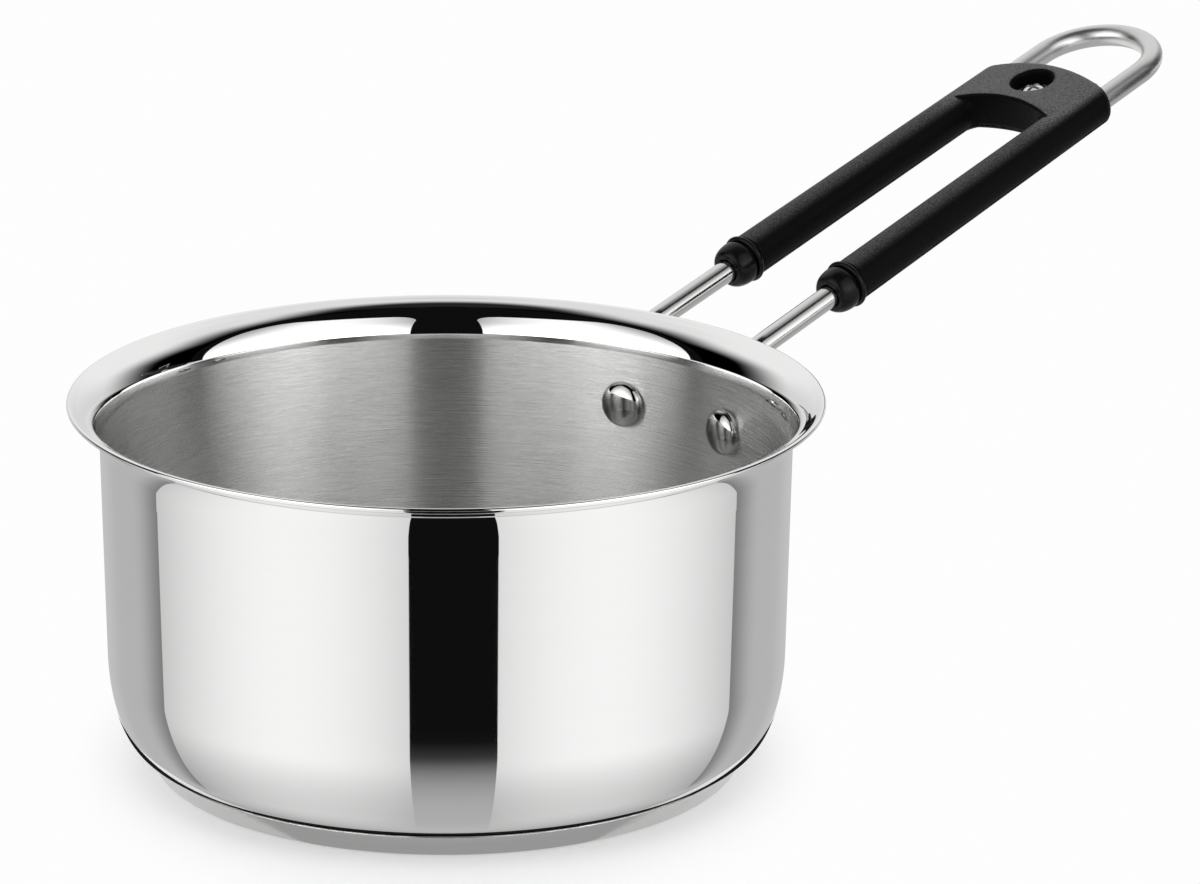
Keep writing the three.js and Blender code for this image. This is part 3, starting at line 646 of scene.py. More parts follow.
def rivet_profile(s):
    """Outline along the rivet: dome, round edge, upright edge, shank, and the upset dome outside."""
    r, p = s.rivet, HandleLines(s)
    head, shank, tail = r.head / 2, r.shank / 2, r.tail / 2
    inside = p.wall_at_rivet - s.vessel.sheet
    head_seat = math.sqrt(inside ** 2 - (head / 2) ** 2)
    rim = head_seat - r.head_edge
    tail_seat = p.flat_axis + s.wire.flat_thickness / 2
    dome = arc((0, rim), (head - r.edge_round / 3, r.head_height - r.head_edge), -QUARTER, DOME_END,
               RIVET_DOME_POINTS)
    edge = arc((head - r.edge_round, rim + r.edge_round), (r.edge_round,) * 2, -QUARTER / 2, 0,
               RIVET_EDGE_POINTS)
    upset = arc((0, tail_seat + r.edge_round), (tail, r.tail_height - r.edge_round), 0, QUARTER,
                UPSET_POINTS)
    return profile(dome, edge, (head, head_seat), (shank, head_seat), (shank, tail_seat),
                   (tail - r.edge_round, tail_seat), upset)


def build_rivets(s):
    """Two rivets turned about the radius of the vessel at the wire ends."""
    p = HandleLines(s)
    made = turned(rivet_profile(s), SMALL_SIDES)
    for name, side in SIDES.items():
        c, n = math.cos(p.azimuth), side * math.sin(p.azimuth)
        grid = placed(made, (0, 0, p.rivet_height), (-n, c, 0), (0, 0, 1), (c, n, 0))
        piece = grid_object("rivet_" + name, grid, sharp=SHARP["rivet"])
        seat(piece, "rivet_" + name, "polished_steel", rivet_steel(s.finish))


def nose_profile(s):
    """Closed outline of a nose cap: dome round the wire, neck, round ring, and the socket inside."""
    n, p = s.nose, HandleLines(s)
    front = p.channel + n.front_lip
    nose = p.neck + n.swell
    ring_front = p.nose_back - n.ring_width
    neck_front = ring_front - n.neck
    widest = neck_front - n.dome_tail
    ring_round = n.ring_width / 2
    ring_centre = (p.neck + n.ring_height - ring_round, p.nose_back - ring_round)
    dome = arc((front, widest), (nose - front, widest - n.start), -QUARTER, 0, NOSE_DOME_POINTS)
    tail = arc((p.neck, widest), (nose - p.neck, neck_front - widest), 0, QUARTER, NOSE_TAIL_POINTS)
    ring = arc(ring_centre, (ring_round,) * 2, -QUARTER, QUARTER, NOSE_RING_POINTS)
    return profile((p.channel, n.start), dome, tail, (p.neck, ring_front), ring,
                   (p.socket, p.nose_back), (p.socket, p.socket_front), (p.channel, p.socket_front))


def build_nose_caps(s):
    """Two nose caps turned about the legs."""
    p = HandleLines(s)
    made = turned(nose_profile(s), SMALL_SIDES)
    for name, side in SIDES.items():
        piece = grid_object("nose_cap_" + name, p.on_leg(made, side), wrap_rows=True,
                            sharp=SHARP["nose"])
        seat(piece, "nose_cap_" + name, "smooth_black", nose_black(s.finish))


# Grip mouldings, as distance fields over (t, w, h)

def round_join(a, b, radius):
    """Both shapes in one, with a round fillet where they meet."""
    return np.maximum(radius, np.minimum(a, b)) - np.hypot(np.maximum(radius - a, 0),
                                                           np.maximum(radius - b, 0))


def round_meet(a, b, radius):
    """What both shapes share, with a round edge where they meet."""
    return -round_join(-a, -b, radius)


class GripField:
    """Distance to the grip's surfaces, negative inside."""

    def __init__(self, s):
        self.g, self.f, self.p = s.grip, s.fastener, HandleLines(s)

    def legs(self, t, w, h):
        """Tapered round legs about the two rods, each with a spigot in front."""
        g, p = self.g, self.p
        away = np.hypot(np.abs(w) - p.half_spread(t), h)
        taper = g.leg_taper * np.clip((t - p.leg_start) / (p.grip_end - p.leg_start), 0, 1)
        leg = round_meet(away - p.leg + taper, p.leg_start - t, g.seam_round)
        spigot = np.maximum(away - p.spigot, p.socket_front + g.clearance - t)
        return np.minimum(leg, spigot)

    def bridge(self, t, w, h):
        """Bridge under a crown that touches the legs: hollow in front, flat below, ending in the legs."""
        g, p = self.g, self.p
        side = p.half_spread(p.grip_end)
        crown = (side ** 2 + g.crown ** 2 - p.leg_end ** 2) / (2 * (g.crown - p.leg_end))
        top = np.hypot(w, h - g.crown + crown) - crown
        front = g.arch - np.hypot(t - p.bridge_front + g.arch, w)
        front = np.maximum(front, p.bridge_front - g.bridge / 2 - t)
        block = round_meet(round_meet(top, front, g.front_round), -g.drop - h, g.under_round)
        return np.maximum(block, np.abs(w) - side)

    def form(self, t, w, h):
        """Whole outside: legs and bridge joined by fillets and trimmed by the bowed end."""
        g, p = self.g, self.p
        fillet = g.fillet * (1 - smooth(h, p.wire, p.leg_end - g.clearance)) + TOUCH
        whole = round_join(self.legs(t, w, h), self.bridge(t, w, h), fillet)
        end = np.hypot(t - p.grip_end + g.end_bow, w) - g.end_bow
        return round_meet(whole, end, g.end_round)

    def channel(self, t, w, h):
        """Space of the wire, open downwards."""
        return np.hypot(np.abs(w) - self.p.half_spread(t), np.maximum(h, 0)) - self.p.channel

    def key(self, t, w, h, grow):
        """Block of the lower moulding that reaches up into the bridge."""
        g, p = self.g, self.p
        along = np.abs(t - p.screw) - (g.bridge / 2 - g.key_wall + grow)
        across = np.abs(w) - (p.half_spread(p.screw) - p.channel - g.key_side + grow)
        return np.maximum(np.maximum(along, across), h - p.key_top - grow)

    def screw_hole(self, t, w, h):
        """Hole of the screw through both mouldings."""
        return np.hypot(t - self.p.screw, w) - self.f.shank / 2 - self.g.clearance

    def upper(self, t, w, h):
        """Main moulding, cut at the seam, with channels, key pocket, counterbore and screw hole."""
        g, p = self.g, self.p
        made = round_meet(self.form(t, w, h), -h - g.parting + g.parting_gap / 2, g.seam_round)
        made = round_meet(made, -self.channel(t, w, h), g.seam_round)
        made = np.maximum(made, -self.key(t, w, h, g.clearance))
        bore = np.maximum(np.hypot(t - p.screw, w) - self.f.counterbore / 2, p.counterbore - h)
        return np.maximum(round_meet(made, -bore, g.bore_round), -self.screw_hole(t, w, h))

    def lower(self, t, w, h):
        """Cover below the seam with its key, nut pocket and screw hole."""
        g, f, p = self.g, self.f, self.p
        made = round_meet(self.form(t, w, h), h + g.parting + g.parting_gap / 2, g.seam_round)
        made = np.minimum(made, np.maximum(self.key(t, w, h, 0), -h - g.drop + g.seam_round))
        along, across = np.abs(t - p.screw), np.abs(w)
        sector = TURN / NUT_CORNERS
        third = along * math.cos(sector) + across * math.sin(sector)
        pocket = np.maximum(np.maximum(along, third) - f.nut / 2, h - p.nut_top) - g.clearance
        return np.maximum(round_meet(made, -pocket, g.seam_round), -self.screw_hole(t, w, h))


def edge_crossings(values, axis):
    """Grid edges along an axis where the field changes sign, with the share along each."""
    first = np.take(values, range(values.shape[axis] - 1), axis)
    second = np.take(values, range(1, values.shape[axis]), axis)
    start = np.argwhere((first < 0) != (second < 0))
    a, b = first[tuple(start.T)], second[tuple(start.T)]
    return start, a / (a - b), a < 0


def level_surface(field, low, high, step):
    """Surface where a field is zero.

    Each grid cell that it crosses gets one point, the mean of the crossings on the cell's edges,
    which then slides along the field's slope onto the zero level. Each edge that it crosses gets a
    quad of the four cells round it.
    """
    axes = [np.arange(a, b + step, step) for a, b in zip(low, high)]
    values = field(*np.meshgrid(*axes, indexing="ij"))
    cells = np.array(values.shape) - 1
    total = np.zeros((cells.prod(), 3))
    count = np.zeros(cells.prod())
    corners = []
    for axis in range(3):
        start, share, inside_first = edge_crossings(values, axis)
        crossing = start.astype(float)
        crossing[:, axis] += share
        around = [np.zeros(3, int) for _ in range(4)]
        for cell, (b, c) in zip(around, ((1, 1), (0, 1), (0, 0), (1, 0))):
            cell[(axis + 1) % 3], cell[(axis + 2) % 3] = b, c
        quad = np.stack([np.ravel_multi_index((start - cell).T, cells) for cell in around], axis=1)
        for column in quad.T:
            np.add.at(total, column, crossing)
            np.add.at(count, column, 1)
        corners.append(np.where(inside_first[:, None], quad, quad[:, ::-1]))
    used = np.flatnonzero(count)
    number = np.full(len(count), -1)
    number[used] = np.arange(len(used))
    points = np.asarray(low) + step * total[used] / count[used, None]
    return slide_to_level(field, points, step), number[np.concatenate(corners)]


def slide_to_level(field, points, step, rounds=4, finer=20, least_slope=0.25):
    """Moves points along the field's slope until the field is zero there, by less than a step a round.

    The slope is measured over a finer step, and its square counts as no less than the least slope.
    """
    probe = step / finer
    for _ in range(rounds):
        slope = np.stack([
            (field(*(points + shift).T) - field(*(points - shift).T)) / (2 * probe)
            for shift in probe * np.eye(3)], axis=1)
        size = np.maximum(np.sum(slope ** 2, axis=1), least_slope)
        move = field(*points.T) / size
        points = points - np.clip(move, -step / 2, step / 2)[:, None] * slope
    return points


def build_grip(s):
    """Upper and lower moulding, as level surfaces in the handle's own frame."""
    p, fields = HandleLines(s), GripField(s)
    margin = MOULDING_MARGIN
    reach = p.spread + p.leg + margin
    black = moulding_black(s.finish)
    parts = {"grip_upper": (fields.upper, -s.grip.parting, s.grip.crown),
             "grip_lower": (fields.lower, -p.leg, p.key_top)}
    for name, (field, bottom, top) in parts.items():
        low = (p.socket_front - margin, -reach, bottom - margin)
        high = (p.grip_end + margin, reach, top + margin)
        points, quads = level_surface(field, low, high, MOULDING_STEP)
        piece = mesh_object(name, p.place(*points.T), quads, sharp=SHARP["grip"])
        seat(piece, name, "grained_black", black)


# Screw and nut

def recess_depth(f, x, y):
    """Depth of the cross recess: two crossing slots with slanting walls, shallower at the tips."""
    tip, slot = f.recess / 2, f.recess_slot / 2
    cross = np.minimum(np.maximum(np.abs(x) - tip, np.abs(y) - slot),
                       np.maximum(np.abs(y) - tip, np.abs(x) - slot))
    hub = np.hypot(x, y) - RECESS_HUB * slot
    inside = smooth(-np.minimum(cross, hub), 0, f.recess_slant)
    return f.recess_depth * inside * (1 - RECESS_RISE * np.clip(np.hypot(x, y) / tip, 0, 1))


def screw_grid(s):
    """Screw turned about Z from tip to crown, with the recess sunk into the rows of the dome."""
    f, g, p = s.fastener, s.grip, HandleLines(s)
    head, shank = f.head / 2, f.shank / 2
    tip, edge = f.tip_inset - g.drop, f.head_height / 2
    chamfer = f.tip_inset
    dome = arc((0, p.screw_seat + edge), (head, f.head_height - edge), 0, QUARTER, SCREW_DOME_POINTS)
    rows = profile((0, tip), (shank - chamfer, tip), (shank, tip + chamfer), (shank, p.screw_seat),
                   (head - chamfer / 2, p.screw_seat), (head, p.screw_seat + chamfer / 2), dome)
    grid = turned(rows, RECESS_SIDES)
    grid[-len(dome):, :, 2] -= recess_depth(f, grid[-len(dome):, :, 0], grid[-len(dome):, :, 1])
    return grid


def nut_grid(s):
    """Hexagon nut: a turned ring whose outside is the lesser of a hexagon and two chamfer cones."""
    f, g, p = s.fastener, s.grip, HandleLines(s)
    bore = f.shank / 2 + g.clearance
    flat = f.nut / 2
    turn = np.linspace(0, TURN, NUT_SIDES, endpoint=False)
    sector = TURN / NUT_CORNERS
    hexagon = flat / np.cos((turn + sector / 2) % sector - sector / 2)
    low, high = -g.drop, p.nut_top
    height = np.concatenate(([low, low], np.linspace(low, high, NUT_ROWS), [high, high]))
    cone = NUT_FACE * flat + np.minimum(height - low, high - height) / math.tan(NUT_CHAMFER)
    radius = np.minimum(hexagon[None], cone[:, None])
    radius[[0, -1]] = bore
    return np.stack((radius * np.cos(turn), radius * np.sin(turn),
                     np.repeat(height[:, None], NUT_SIDES, axis=1)), axis=-1)


def build_fasteners(s):
    """Screw and nut, upright on the screw's axis in the bridge."""
    p = HandleLines(s)
    plated = screw_steel(s.finish)
    for name, grid, ring in (("grip_screw", screw_grid(s), False), ("grip_nut", nut_grid(s), True)):
        x, y, z = np.moveaxis(grid, -1, 0)
        piece = grid_object(name, p.place(p.screw + x, y, z), wrap_rows=ring, sharp=SHARP["fastener"])
        seat(piece, name, "screw_steel", plated)


# Shader nodes

METAL = {"Metallic": 1.0}
LINE_SHEAR = (0.37, 0.61)  # carries each line to another part of the noise
LINE_TURNS = 14.0  # changes of the noise along a fine line and along a streak
STREAK_TURNS = 3.0
STREAK_SHARE = 0.03  # streaks for each fine line
STREAK_RANGE = (0.25, 0.75)  # of the noise that makes the streaks
FINE_GRAIN = 1.7  # finer noise over the cells of the grain, and its height
FINE_HEIGHT = 0.8
SPECK_RANGE = (0.32, 0.68)
PATCH_RANGE = (0.3, 0.7)
ROD_TO_LOOP = (0.13, 0.19)  # along X, where the wire goes from polished to matt
ROD_ROUGHNESS, LOOP_ROUGHNESS, STREAK_ROUGHNESS = 0.12, 0.3, 0.06
BRIDGE_START = (0.185, 0.203)  # along X, where the legs of the grip go over into the bridge
TOP_LIGHT_SLOPE = (0.62, 1.0)  # upward part of the normal, from no painted top light to full
TOP_LIGHT_POWER = 1.8
TOP_LIGHT_LEGS = 0.42  # painted top light of the legs, as a share of the bridge's
TOP_LIGHT_SPECK = (0.1, 0.9, 0.55, 1.45)  # the grain's specks, and the shares of the painted top light they let through


def node(tree, kind, inputs=None, **settings):
    """A node with its settings, and its inputs set to values or linked to sockets."""
    made = tree.nodes.new(kind)
    for name, value in settings.items():
        setattr(made, name, value)
    for name, value in (inputs or {}).items():
        if isinstance(value, NodeSocket):
            tree.links.new(value, made.inputs[name])
        else:
            made.inputs[name].default_value = value
    return made


def maths(tree, operation, *values):
    """Result of a Math node."""
    return node(tree, "ShaderNodeMath", dict(enumerate(values)), operation=operation).outputs[0]


def vector_maths(tree, operation, *values):
    """Result of a Vector Math node: a value for lengths and dot products, otherwise a vector."""
    made = node(tree, "ShaderNodeVectorMath", dict(enumerate(values)), operation=operation)
    return made.outputs["Value" if operation in ("LENGTH", "DOT_PRODUCT") else "Vector"]


def parts_of(tree, vector):
    """X, Y and Z of a vector."""
    return node(tree, "ShaderNodeSeparateXYZ", {0: vector}).outputs


def joined(tree, **parts):
    """A vector of X, Y and Z, where a part that isn't given is 0."""
    return node(tree, "ShaderNodeCombineXYZ", parts).outputs[0]


def spread_out(tree, value, low, high, to_low=0.0, to_high=1.0):
    """A value mapped smoothly from one range to another."""
    made = node(tree, "ShaderNodeMapRange", {
        "Value": value, "From Min": low, "From Max": high, "To Min": to_low, "To Max": to_high,
    }, interpolation_type="SMOOTHSTEP")
    return made.outputs["Result"]


def noise(tree, vector, scale, detail=2.0, roughness=0.5):
    """Noise value at a vector."""
    made = node(tree, "ShaderNodeTexNoise", {
        "Vector": vector, "Scale": scale, "Detail": detail, "Roughness": roughness})
    return made.outputs["Fac"]


def node_group(name, inputs, outputs):
    """An empty shader node group with its sockets, or the one that was made before.

    An input with a default is a value and one without is a vector. An output named Normal is a
    vector, and any other is a value.
    """
    tree = bpy.data.node_groups.get(name)
    if tree:
        return tree, None, None
    tree = bpy.data.node_groups.new(name, "ShaderNodeTree")
    for socket, default in inputs.items():
        kind = "NodeSocketVector" if default is None else "NodeSocketFloat"
        made = tree.interface.new_socket(socket, in_out="INPUT", socket_type=kind)
        if default is not None:
            made.default_value = default
    for socket in outputs:
        kind = "NodeSocketVector" if socket == "Normal" else "NodeSocketFloat"
        tree.interface.new_socket(socket, in_out="OUTPUT", socket_type=kind)
    return tree, tree.nodes.new("NodeGroupInput").outputs, tree.nodes.new("NodeGroupOutput").inputs


def turned_brushing():
    """Lines round the Z axis: noise stretched along circles, read across them by radius plus height.

    Streak is a coarse noise of this kind. Normal is the surface's own normal, tilted across the lines
    by a fine noise times Spread.
    """
    tree, given, result = node_group(
        "turned_brushing", {"Vector": None, "Lines": 2600.0, "Normal": None, "Spread": 1.0},
        ("Streak", "Normal"))
    if given is None:
        return tree
    split = parts_of(tree, given["Vector"])
    flat = joined(tree, X=split["X"], Y=split["Y"])
    outward = vector_maths(tree, "NORMALIZE", flat)
    across = maths(tree, "ADD", vector_maths(tree, "LENGTH", flat), split["Z"])
    way = parts_of(tree, outward)

    def stretched(lines, turns):
        row = maths(tree, "MULTIPLY", across, lines)
        shear = [maths(tree, "MULTIPLY", row, share) for share in LINE_SHEAR]
        place = joined(tree, X=row, Y=maths(tree, "MULTIPLY_ADD", way["X"], turns, shear[0]),
                       Z=maths(tree, "MULTIPLY_ADD", way["Y"], turns, shear[1]))
        return noise(tree, place, 1.0, roughness=0.6)

    streaks = maths(tree, "MULTIPLY", given["Lines"], STREAK_SHARE)
    tree.links.new(stretched(streaks, STREAK_TURNS), result["Streak"])
    fine = maths(tree, "SUBTRACT", stretched(given["Lines"], LINE_TURNS), 0.5)
    round_way = vector_maths(tree, "CROSS_PRODUCT", (0, 0, 1), outward)
    up_slope = vector_maths(tree, "CROSS_PRODUCT", given["Normal"], round_way)
    tilt = node(tree, "ShaderNodeVectorMath", {
        0: up_slope, "Scale": maths(tree, "MULTIPLY", fine, given["Spread"])}, operation="SCALE").outputs[0]
    tilted = vector_maths(tree, "ADD", given["Normal"], tilt)
    tree.links.new(vector_maths(tree, "NORMALIZE", tilted), result["Normal"])
    return tree


def drawn_streaks():
    """Lengthwise streaks of drawn wire: noise stretched along U, read across by V."""
    tree, given, result = node_group(
        "drawn_streaks", {"UV": None, "Lines": 900.0, "Along": 16.0}, ("Streak",))
    if given is None:
        return tree
    split = parts_of(tree, given["UV"])
    place = joined(tree, X=maths(tree, "MULTIPLY", split["X"], given["Along"]),
                   Y=maths(tree, "MULTIPLY", split["Y"], given["Lines"]))
    tree.links.new(noise(tree, place, 1.0, detail=3.0, roughness=0.6), result["Streak"])
    return tree


def spark_grain():
    """Eroded mould grain: small cells with a finer noise over them, which also gives the specks."""
    tree, given, result = node_group("spark_grain", {"Vector": None, "Grain": 2200.0}, ("Height", "Speck"))
    if given is None:
        return tree
    cells = node(tree, "ShaderNodeTexVoronoi", {"Vector": given["Vector"], "Scale": given["Grain"]},
                 feature="SMOOTH_F1").outputs["Distance"]
    fine = noise(tree, given["Vector"], maths(tree, "MULTIPLY", given["Grain"], FINE_GRAIN))
    tree.links.new(maths(tree, "MULTIPLY_ADD", fine, FINE_HEIGHT, cells), result["Height"])
    tree.links.new(spread_out(tree, fine, *SPECK_RANGE), result["Speck"])
    return tree


def handling():
    """Soft patches left by wiping and handling, from 0 to 1."""
    tree, given, result = node_group("handling", {"Vector": None, "Patches": 30.0}, ("Patch",))
    if given is None:
        return tree
    patch = noise(tree, given["Vector"], given["Patches"], detail=4.0, roughness=0.6)
    tree.links.new(spread_out(tree, patch, *PATCH_RANGE), result["Patch"])
    return tree


# Finishes

class Finish:
    """A material with its Principled shader, and ways to place the shared groups in it."""

    def __init__(self, name, colour, constants):
        self.material = bpy.data.materials.new(FINISH + name)
        self.material.use_nodes = True
        self.tree = self.material.node_tree
        self.shader = self.tree.nodes["Principled BSDF"]
        self.shader.inputs["Base Color"].default_value = (*colour, 1)
        for socket, value in constants.items():
            self.shader.inputs[socket].default_value = value
        coordinate = node(self.tree, "ShaderNodeTexCoord").outputs
        self.object_place, self.uv = coordinate["Object"], coordinate["UV"]
        self.facing = node(self.tree, "ShaderNodeNewGeometry").outputs["Normal"]

    def group(self, tree, **inputs):
        """Outputs of a shared group placed in this material."""
        return node(self.tree, "ShaderNodeGroup", inputs, node_tree=tree).outputs

    def link(self, value, socket):
        """Feeds a value to the shader."""
        self.tree.links.new(value, self.shader.inputs[socket])

    def blend(self, mask, first, second):
        """Base colour between two colours, by a mask."""
        mixed = node(self.tree, "ShaderNodeMix", {"Factor": mask}, data_type="RGBA")
        mixed.inputs["A"].default_value = (*first, 1)
        mixed.inputs["B"].default_value = (*second, 1)
        self.link(mixed.outputs["Result"], "Base Color")

    def tint(self, mask, dark, light=1.0):
        """Base colour times a share between two values, by a mask."""
        base = self.shader.inputs["Base Color"].default_value[:3]
        self.blend(mask, [dark * part for part in base], [light * part for part in base])

    def wiped(self, patches, roughness):
        """Roughness between two values in soft patches, whose mask it gives back."""
        patch = self.group(handling(), Vector=self.object_place, Patches=patches)["Patch"]
        self.link(spread_out(self.tree, patch, 0.0, 1.0, *roughness), "Roughness")
        return patch

    def brushed(self, lines, spread, roughness, dark):
        """Brushing in circles: roughness and colour follow the streaks, the normal the fine lines."""
        made = self.group(turned_brushing(), Vector=self.object_place, Lines=lines,
                          Normal=self.facing, Spread=spread)
        self.link(spread_out(self.tree, made["Streak"], *STREAK_RANGE, *roughness), "Roughness")
        self.tint(made["Streak"], dark)
        self.link(made["Normal"], "Normal")

    def grained(self, grain, depth):
        """Moulded grain as a bump of a depth in metres. Gives back the mask of its specks."""
        made = self.group(spark_grain(), Vector=self.object_place, Grain=grain)
        bump = node(self.tree, "ShaderNodeBump", {
            "Height": made["Height"], "Distance": depth, "Strength": 1.0}).outputs["Normal"]
        self.link(bump, "Normal")
        return made["Speck"]


def once(build):
    """Makes a material on the first call and gives the same one afterwards."""
    def given(finish):
        found = bpy.data.materials.get(FINISH + build.__name__)
        return found or build(finish).material
    return given


@once
def polished_steel(finish):
    """Mirror finish with faint wiping marks."""
    made = Finish("polished_steel", finish.polished, METAL)
    made.wiped(patches=26.0, roughness=(0.012, 0.03))
    lines = made.group(turned_brushing(), Vector=made.object_place, Lines=12000.0)
    made.tint(lines["Streak"], dark=0.98)
    return made


@once
def satin_steel(finish):
    """Inside of the vessel, brushed in circles: the shine is drawn out across the lines."""
    made = Finish("satin_steel", finish.satin, {
        **METAL, "Anisotropic": 0.95, "Anisotropic Rotation": 0.25})
    made.brushed(lines=160000.0, spread=3.0, roughness=(0.26, 0.29), dark=0.95)
    return made


@once
def cap_steel(finish):
    """Base cap, turned to a coarser satin."""
    made = Finish("cap_steel", finish.cap, METAL)
    made.brushed(lines=60000.0, spread=0.9, roughness=(0.16, 0.24), dark=0.92)
    return made


@once
def disc_painted_shade(finish):
    """Dull rolled disc, painted near black as the shade in the groove."""
    made = Finish("disc_painted_shade", finish.disc, METAL)
    made.tint(made.wiped(patches=90.0, roughness=(0.45, 0.6)), dark=0.8)
    return made


@once
def rivet_steel(finish):
    """Mirror rivets with a few wiping marks."""
    made = Finish("rivet_steel", finish.rivet, METAL)
    made.tint(made.wiped(patches=300.0, roughness=(0.03, 0.07)), dark=0.95)
    return made


@once
def wire_steel(finish):
    """Drawn wire with lengthwise streaks, polished at the rods and more matt at the loop."""
    made = Finish("wire_steel", finish.wire, METAL)
    streak = made.group(drawn_streaks(), UV=made.uv, Lines=900.0, Along=16.0)["Streak"]
    along = parts_of(made.tree, made.object_place)["X"]
    matt = spread_out(made.tree, along, *ROD_TO_LOOP, ROD_ROUGHNESS, LOOP_ROUGHNESS)
    made.link(maths(made.tree, "MULTIPLY_ADD", streak, STREAK_ROUGHNESS, matt), "Roughness")
    made.tint(streak, dark=0.9)
    return made


@once
def moulding_black(finish):
    """Black thermoset with a fine spark grain, and painted light: greyer where it faces up, less so on the
    legs.
    """
    made = Finish("moulding_black", finish.moulding, {
        "Specular IOR Level": 0.045, "Sheen Weight": 0.02, "Sheen Roughness": 0.45})
    made.wiped(patches=45.0, roughness=(0.42, 0.52))
    tree, speck = made.tree, made.grained(grain=1500.0, depth=60e-6)
    # Painted top light: the colour greys faces that point up, more on the bridge than on the legs.
    upward = parts_of(tree, made.facing)["Z"]
    top = maths(tree, "POWER", spread_out(tree, upward, *TOP_LIGHT_SLOPE), TOP_LIGHT_POWER)
    along = parts_of(tree, made.object_place)["X"]
    worn = maths(tree, "MULTIPLY", top, spread_out(tree, along, *BRIDGE_START, TOP_LIGHT_LEGS, 1.0))
    mask = maths(tree, "MULTIPLY", worn, spread_out(tree, speck, *TOP_LIGHT_SPECK))
    made.blend(mask, finish.moulding, finish.worn)
    return made


@once
def nose_black(finish):
    """Smooth black moulding with a soft shine."""
    made = Finish("nose_black", finish.nose, {"Specular IOR Level": 0.16})
    made.wiped(patches=220.0, roughness=(0.22, 0.36))
    made.tint(made.grained(grain=1500.0, depth=8e-6), dark=0.9, light=1.3)
    return made


@once
def screw_steel(finish):
    """Plated screw and nut with a slightly mottled shine."""
    made = Finish("screw_steel", finish.screw, METAL)
    made.tint(made.wiped(patches=700.0, roughness=(0.1, 0.2)), dark=0.75)
    return made


# Stage

UNSEEN = {"camera": False, "shadow": False}
MIRRORED = {**UNSEEN, "diffuse": False, "transmission": False}  # seen in reflections only
SENSOR = 36  # width in millimetres
CLIP = (0.01, 100)
LAMP_SIZE = 1.8
LAMP_HEIGHT = 1.5
FLOOR_REACH = 30.0
FLOOR_HUB = 0.05  # innermost ring of the floor's mesh
FLOOR_RINGS, FLOOR_SIDES = 40, 96
FADE = (0.078, 0.123)  # the floor goes over into plain white between these distances
SIDE_FADE = 1.35  # and so much earlier at the sides

# Front panels, as azimuths from the camera and elevations
PANEL_REACH = 1.6  # distance of the light panels from the pan
PANEL_POINTS = 40
PANEL_AZIMUTH = np.radians((12.5, 92))
PANEL_ELEVATION = np.radians((5, 60))
PANEL_CORNER = math.radians(13)
PANEL_NEAR = np.radians((52, 16))  # light goes down from the first to the second, by the loss
PANEL_FAR = np.radians((58, 96))
PANEL_TOP = np.radians((40, 60))
NEAR_LOSS, FAR_LOSS, TOP_LOSS = 0.48, 0.62, 0.1
SHINE_SPAN = np.radians((10, 46))  # reflections lose more light with the elevation
SHINE_LOSS = 0.58

# Panel behind the pan
SWEEP_AZIMUTH = (98, 262, 80)  # degrees from and to, and points
SWEEP_ELEVATION = (1, 86, 50)
SWEEP_FOOT = np.radians((8, 28))
SWEEP_HIGH = np.radians((40, 56))
SWEEP_TOP = np.radians((59, 74))
FOOT_LOSS, HIGH_LOSS, HEAD_LOSS = 0.22, 0.12, 0.86
SWEEP_EDGE = math.radians(118)  # start of the light at its sides, which comes nearer higher up
EDGE_SHIFT = math.radians(18)
EDGE_RISE = np.radians((22, 42))
EDGE_WIDTH = math.radians(38)

# Black tent round the panels
TENT_REACH = 2.2
TENT_ELEVATION = (-2, 89.95, 24)
TENT_POINTS = 49
TENT_BLACK = 0.005

# Cards that the polished wall reflects, in shares of the wall's radius across the pan
WALL_EDGES = (-0.812, -0.1055, 0.1422, 0.812)  # of the white panels on the wall
WALL_OUTLINE = 0.995
HAIR = 1e-4  # between the columns on both sides of an edge
CARD_COLUMNS, CARD_ROWS = 24, 60
WHITE_MIDDLE, WHITE = 0.45, 1.06
WHITE_FALL = (2.4, 3.1)  # inside the middle and outside it
NEAR_WHITE, NEAR_WIDTH = 0.68, 0.055  # share of the white close to the wall, a painted shadow of the floor there, and how far that goes
SIDE_GREY = 0.2
SIDE_RISE = (0.31, 0.79, 0.89)  # more grey, from, to
OUTLINE_RISE = (0.05, 0.94, 0.98)
GAP_BLACK, GAP_NEAR, GAP_WIDTH = 0.005, 0.48, 0.078  # black gap, lighter close to the wall
UNDER_GREY = 0.56  # painted shadow below the pan, where the round corner looks
UNDER_RISE = (0.82, -0.009, -0.005)  # share at first, from, to
UNDER_EDGE = (-0.006, 0)
FLOOR_CARD = (-0.016, 0.7)  # reach from the wall
FLOOR_CARD_HEIGHT = 0.2 * MM
RIM_CARD = (0.0004, 0.02)
RIM_CARD_HEIGHT = 74 * MM  # under the flare, which reflects it
RIM_CARD_FAR = 1.0  # it has the shades that the floor card has so far from the wall

# Dark ring beside the groove over the base cap, a painted shadow of the floor for the polished corner to
# reflect, and the dark card beside the hanging loop
RING_HEIGHT = 6.6 * MM
RING_GAP = 0.6 * MM
RING_WIDTH = 2.2 * MM
RING_MORE = 5 * MM  # wider at both sides of the pan
RING_SPAN = np.radians((40, 95))
# Painted shadow: the ring's dark shade stands for the floor in shade beside the base.
RING_BLACK = 0.012
RING_ROWS, RING_POINTS = 5, 145
FLAG_PLACE = np.array((0.264, -0.052, 0.13))
FLAG_SIZE = (0.03, 0.024)  # half width and half height
FLAG_BLACK, FLAG_GREY = 0.005, 0.3
FLAG_EDGE = (0.55, 1)
FLAG_POINTS = 13


def view_axes(stage):
    """Right and back directions of the camera, level with the floor."""
    back = Vector((*stage.camera[:2], 0)).normalized()
    return np.array(Vector((0, 0, 1)).cross(back)), np.array(back)


